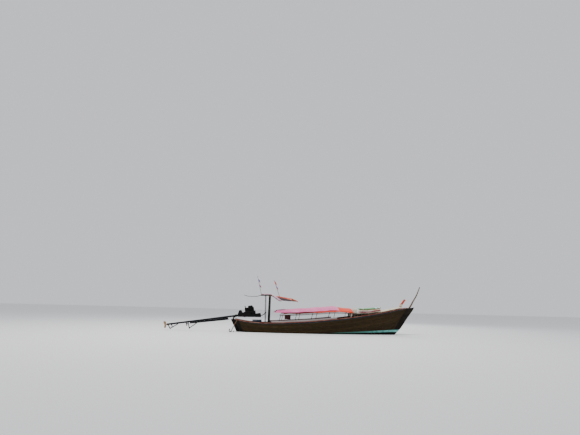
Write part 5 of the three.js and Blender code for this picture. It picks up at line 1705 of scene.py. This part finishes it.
cleaner_paint = paint("cleaner_paint", "black_plastic", (20, 21, 23), (44, 44, 46), (70, 60, 50), 0.4, 0.3, 0.4)
tail_piece("air_drum", [
    axle((0.732, 0.908), 0.058, 32, 0.010, y=CLEANER_Y, z=CLEANER_Z),
    *[bar(ring_points((x, CLEANER_Y, CLEANER_Z), ACROSS, UP, 0.0588), 0.003, 6)
      for x in (0.733, 0.795, 0.845, 0.905)],
    axle((0.729, 0.733), 0.040, 24, 0.001, y=CLEANER_Y, z=CLEANER_Z),
    drum((0.82, CLEANER_Y - 0.058, CLEANER_Z), (0.82, CLEANER_Y - 0.040, CLEANER_Z), 0.022, 20, 0.002),
], cleaner_paint, "air_cleaner")

bed = []
for side in (-1, 1):
    bed += bolts([(x, side * 0.212, z) for x, z in BED_BOLTS], (0, side, 0), 0.011, 0.008)
    bed.append(slab((0.77, 1.296), 0.004, (-0.034, -0.024), 0.002, 1, side * 0.214))
tail_piece("bed_bolts", bed, black_iron)

# %% [markdown]
# The tiller is one bent pipe with a worn rubber grip, a flange at its foot, and a throttle lever clamped
# on. Straight lengths could be joined, but the real pipe is bent in one sweep.

# %% Tiller
TILLER = [(1.3012, 0, -0.149), (1.385, 0, -0.146), (1.485, 0, -0.092), (1.600, 0, -0.008)]
tail_piece("tiller_pipe", [
    bar(TILLER, 0.0185, 16, 8),
    box((1.3008, -0.040, -0.189), (1.3068, 0.040, -0.109), 0.002, 1),
    *bolts([(1.3066, y, z) for y in (-0.030, 0.030) for z in (-0.179, -0.119)], (1, 0, 0), 0.007, 0.006),
], black_iron, "tiller", CREASE)
grip_rubber = iron("grip_rubber", "dark_steel", (12, 12, 12), 0.05, 0.75)
tiller_path = curve_points(TILLER, 8)
path = tiller_path[-9:]
tail_piece("tiller_grip", [
    bar(path, 0.0215, 16),
    *[bar(ring_points(p, ACROSS, heading(path, k).cross(ACROSS), 0.0212, 20), 0.0022, 6)
      for k, p in enumerate(path)],
], grip_rubber, crease=CREASE)
at = tiller_path[14]
lever = [(0, 0, 0), (0.012, -0.022, -0.02), (0.050, -0.024, 0.000), (0.078, -0.024, 0.030)]
tail_piece("throttle_lever", [
    drum(at + Vector((-0.010, 0, -0.008)), at + Vector((0.010, 0, 0.008)), 0.0225, 18, 0.002),
    bar([at + Vector(p) for p in lever], 0.0042, 8, 5),
], bright_iron, crease=CREASE)

# %% [markdown]
# The tail tube carries clamped collars and a stern bearing, and the brace is welded under it on a thin web.
# The skeg brackets are flat bars with rounded edges, with plates where they meet the tube. Square bars
# would be simpler, but light runs along a rounded edge.

# %% Tail tube and skegs
TUBE = 0.0455                  # radius of the tail tube
COLLARS = ((-3.585, 0.030, 0.008), (-3.50, 0.018, 0.004), (-2.98, 0.024, 0.004), (-2.57, 0.030, 0.005),
           (-2.04, 0.024, 0.004), (-1.30, 0.024, 0.004), (-0.62, 0.030, 0.005), (-0.30, 0.022, 0.006),
           (0.16, 0.03, 0.004))   # place along the tube, width, and height over it
BRACE = [(-0.43, 0, -0.132), (-0.69, 0, -0.130), (-1.85, 0, -0.098), (-2.42, 0, -0.086)]
SKEGS = {
    "aft": [((-3.545, -0.048), (-3.462, -0.235)), ((-3.470, -0.228), (-3.045, -0.048)),
            ((-3.376, -0.048), (-3.345, -0.180))],
    "fore": [((-2.519, -0.048), (-2.484, -0.345)), ((-2.492, -0.336), (-2.050, -0.100)),
             ((-2.617, -0.048), (-2.600, -0.190)), ((-2.616, -0.100), (-2.510, -0.100))],
}
BAR_WIDE, BAR_DEEP = 0.012, 0.022
tube_iron = iron("tube_iron", "dark_steel", (8, 12, 16), 0.3, 0.65, (36, 25, 20))
tail_piece("tail_pipe", [
    axle((-3.5995, 0.2995), TUBE, 28, 0.002),
    *[axle((x - wide / 2, x + wide / 2), TUBE + grow, 28, 0.002) for x, wide, grow in COLLARS],
], tube_iron, "tail_tube")


def ball(place, radius):
    bm = bmesh.new()
    bmesh.ops.create_uvsphere(bm, u_segments=16, v_segments=10, radius=radius, matrix=Matrix.Translation(place))
    return bm


web = [(x, z + 0.01) for x, _, z in BRACE] + [(-2.42, -0.0465), (-0.43, -0.0465)]
tail_piece("tail_web", [
    bar(BRACE, 0.0275, 16),
    *[ball(p, 0.0285) for p in BRACE],
    swept([(ACROSS * y, Vector((1, 0, 0)), UP) for y in (-0.004, 0.004)], web),
    *[slab((x - 0.006, x + 0.006), 0.024, (-0.13 + max(0.0, -0.69 - x) * 0.026, -0.044), 0.002, 1)
      for x in (-0.50, -0.72, -1.10, -1.50, -1.86, -2.20)],
], tube_iron, "tail_brace")

for name, bars in SKEGS.items():
    skeg = []
    for (x0, z0), (x1, z1) in bars:
        across = ACROSS.cross(Vector((x1 - x0, 0, z1 - z0)).normalized())
        ends = [(Vector((x, 0, z)), ACROSS, across) for x, z in ((x0, z0), (x1, z1))]
        skeg.append(swept(ends, rounded(square(BAR_WIDE, BAR_DEEP), 0.005)))
        if z0 > -0.05:
            skeg.append(slab((x0 - 0.030, x0 + 0.030), BAR_DEEP, (-0.060, -0.0445), 0.003, 1))
    for x, z in {end for ends in bars for end in ends if end[1] < -0.15}:
        skeg.append(drum((x, -0.0135, z), (x, 0.0135, z), 0.023, 18, 0.003))
    tail_piece(f"skeg_{name}_bars", skeg, tube_iron, f"skeg_{name}")

# %% [markdown]
# The propeller has two broad cast blades. A blade could be carved from a plate, but a grid keeps its form
# in a few numbers: it is widest past its middle, thickest at the root, twisted so its tip lies flatter than
# its root, and raked aft. A boss and a nut hold it.

# %% Propeller
BLADE_ROOT, BLADE_LONG, BLADE_CHORD = 0.022, 0.156, 0.150
WIDEST, TIP_ROUND = 0.118, 0.0625      # the blade is widest here, and its tip rounds off over this reach
BLADE_X, BLADE_RAKE = -3.69, 0.2126


def blade(turn):
    rows, columns = 18, 12

    def place(side):
        def at(i, j):
            out = i / rows
            reach = BLADE_ROOT + BLADE_LONG * out
            if reach > WIDEST:
                share = math.sqrt(max(0.0, 1 - ((reach - WIDEST) / TIP_ROUND) ** 2))
            else:
                share = 0.62 + 0.38 * (reach - BLADE_ROOT) / (WIDEST - BLADE_ROOT)
            s = j / columns - 0.5
            pitch = math.radians(66 - 18 * out)
            thick = (0.0105 - 0.0065 * out) * math.sqrt(max(0.0, 1 - (2 * s) ** 2)) + 0.0006
            a, b = s * BLADE_CHORD * share, side * thick / 2 + 0.010 * (1 - (2 * s) ** 2)
            x = a * math.sin(pitch) - b * math.cos(pitch)
            return Vector((BLADE_X + x - BLADE_RAKE * reach, a * math.cos(pitch) + b * math.sin(pitch), reach))
        return at
    front, back = [laid(rows, columns, place(side), lambda i, j: (i / rows, j / columns)) for side in (1, -1)]
    bmesh.ops.reverse_faces(back, faces=back.faces)
    bm = joined([front, back])
    bmesh.ops.remove_doubles(bm, verts=bm.verts, dist=0.0009)
    rim = [e for e in bm.edges if e.is_boundary]
    if rim:
        bmesh.ops.holes_fill(bm, edges=rim)
    bmesh.ops.transform(bm, matrix=Matrix.Rotation(turn, 4, "X"), verts=bm.verts)
    return bm


blade_bronze = iron("blade_bronze", "bronze", (150, 124, 98), 0.35, 0.5, (104, 78, 62), metallic=0.35)
piece("propeller_blades", [
    axle((-3.612, -3.735), 0.0375, 32, 0.004, 0.026), blade(0), blade(math.pi),
    axle((-3.618, -3.634), 0.0385, 32, 0.002), axle((-3.734, -3.749), 0.019, 6, 0.002),
    axle((-3.5995, -3.615), 0.0138, 20),
], "propeller", blade_bronze, "propeller", crease=50, place=TAIL, flip_out=True)

# %% [markdown]
# Caps and bolts finish the swivel. Its plates could be remodelled, but their CAD shapes are already right,
# so only what is too small for them is added.

# %% Swivel fittings
caps = []
for side in (-1, 1):
    caps.append(drum(TILT_PIN + ACROSS * side * 0.1425, TILT_PIN + ACROSS * side * 0.1475, 0.027, 24, 0.002))
    caps += bolts([(-4.83, side * 0.1423, 0.735)], (0, side, 0), 0.009, 0.006)
piece("fork_caps", caps, "swivel", bright_iron, crease=CAST)
hull_piece("socket_bolts", bolts([(-4.865 + dx, dy, 0.6373) for dx in (-0.078, 0.058) for dy in (-0.030, 0.030)],
                                 UP, 0.008, 0.006), black_iron, crease=CAST)

# %% [markdown]
# A plain pale floor lies at the waterline, under even light from all round and two large soft lights. A
# picture could light the boat, but it would tint the paint. The floor is left open inside the planking, so
# that the sole and the thwarts are seen.

# %% Light and floor
FLOOR_HALF = 120
CUT_STEP, CUT_INSET = 0.15, 0.016      # the opening's points along the hull, and its way in from the skin


def waterline(obj):
    """Where a side of the planking meets the floor, as points from aft to forward, just inside its skin."""
    cut = bmesh.new()
    cut.from_mesh(obj.data)
    made = bmesh.ops.bisect_plane(cut, geom=cut.verts[:] + cut.edges[:] + cut.faces[:],
                                  plane_co=(0, 0, 0), plane_no=UP)
    widest = {}
    for v in made["geom_cut"]:
        if isinstance(v, bmesh.types.BMVert):
            k = round(v.co.x / CUT_STEP)
            if k not in widest or abs(v.co.y) > abs(widest[k].y):
                widest[k] = v.co.copy()
    cut.free()
    return [Vector((p.x, math.copysign(max(0.004, abs(p.y) - CUT_INSET), p.y), 0))
            for _, p in sorted(widest.items())]


def make_stage():
    bm = bmesh.new()
    far = [Vector((x, y, 0)) for x, y in square(FLOOR_HALF, FLOOR_HALF)]
    for loop in (far, waterline(hull_sides["starboard"]) + waterline(hull_sides["port"])[::-1]):
        ring = [bm.verts.new(p) for p in loop]
        for a, b in zip(ring, ring[1:] + ring[:1]):
            bm.edges.new((a, b))
    bmesh.ops.triangle_fill(bm, use_beauty=True, use_dissolve=False, edges=bm.edges[:])
    for face in bm.faces:
        if face.normal.z < 0:
            face.normal_flip()
    mesh = bpy.data.meshes.new("floor")
    bm.to_mesh(mesh)
    bm.free()
    floor = placed_object("floor", mesh)
    finish = bpy.data.materials.new("floor")
    finish.use_nodes = True
    shader = finish.node_tree.nodes["Principled BSDF"]
    shader.inputs["Base Color"].default_value = (0.80, 0.81, 0.82, 1)
    shader.inputs["Roughness"].default_value = 0.9
    mesh.materials.append(finish)
    world = bpy.data.worlds.new("world")
    bpy.context.scene.world = world
    world.use_nodes = True
    sky = world.node_tree.nodes["Background"]
    sky.inputs["Color"].default_value = (0.94, 0.96, 1.0, 1)
    sky.inputs["Strength"].default_value = 0.82


def make_light(name, place, aim, size, power, tint):
    data = bpy.data.lights.new(name, "AREA")
    data.shape = "DISK"
    data.size = size
    data.energy = power
    data.color = tint
    light = placed_object(name, data)
    light.location = place
    light.rotation_mode = "QUATERNION"
    light.rotation_quaternion = (Vector(aim) - Vector(place)).to_track_quat("-Z", "Y")


make_stage()
make_light("key", (-8, -6, 22), (0, 0, 0), 9, 4600, (1, 0.97, 0.92))
make_light("back", (6, 16, 12), (0, 0, 0.5), 10, 1200, (1, 0.99, 0.97))
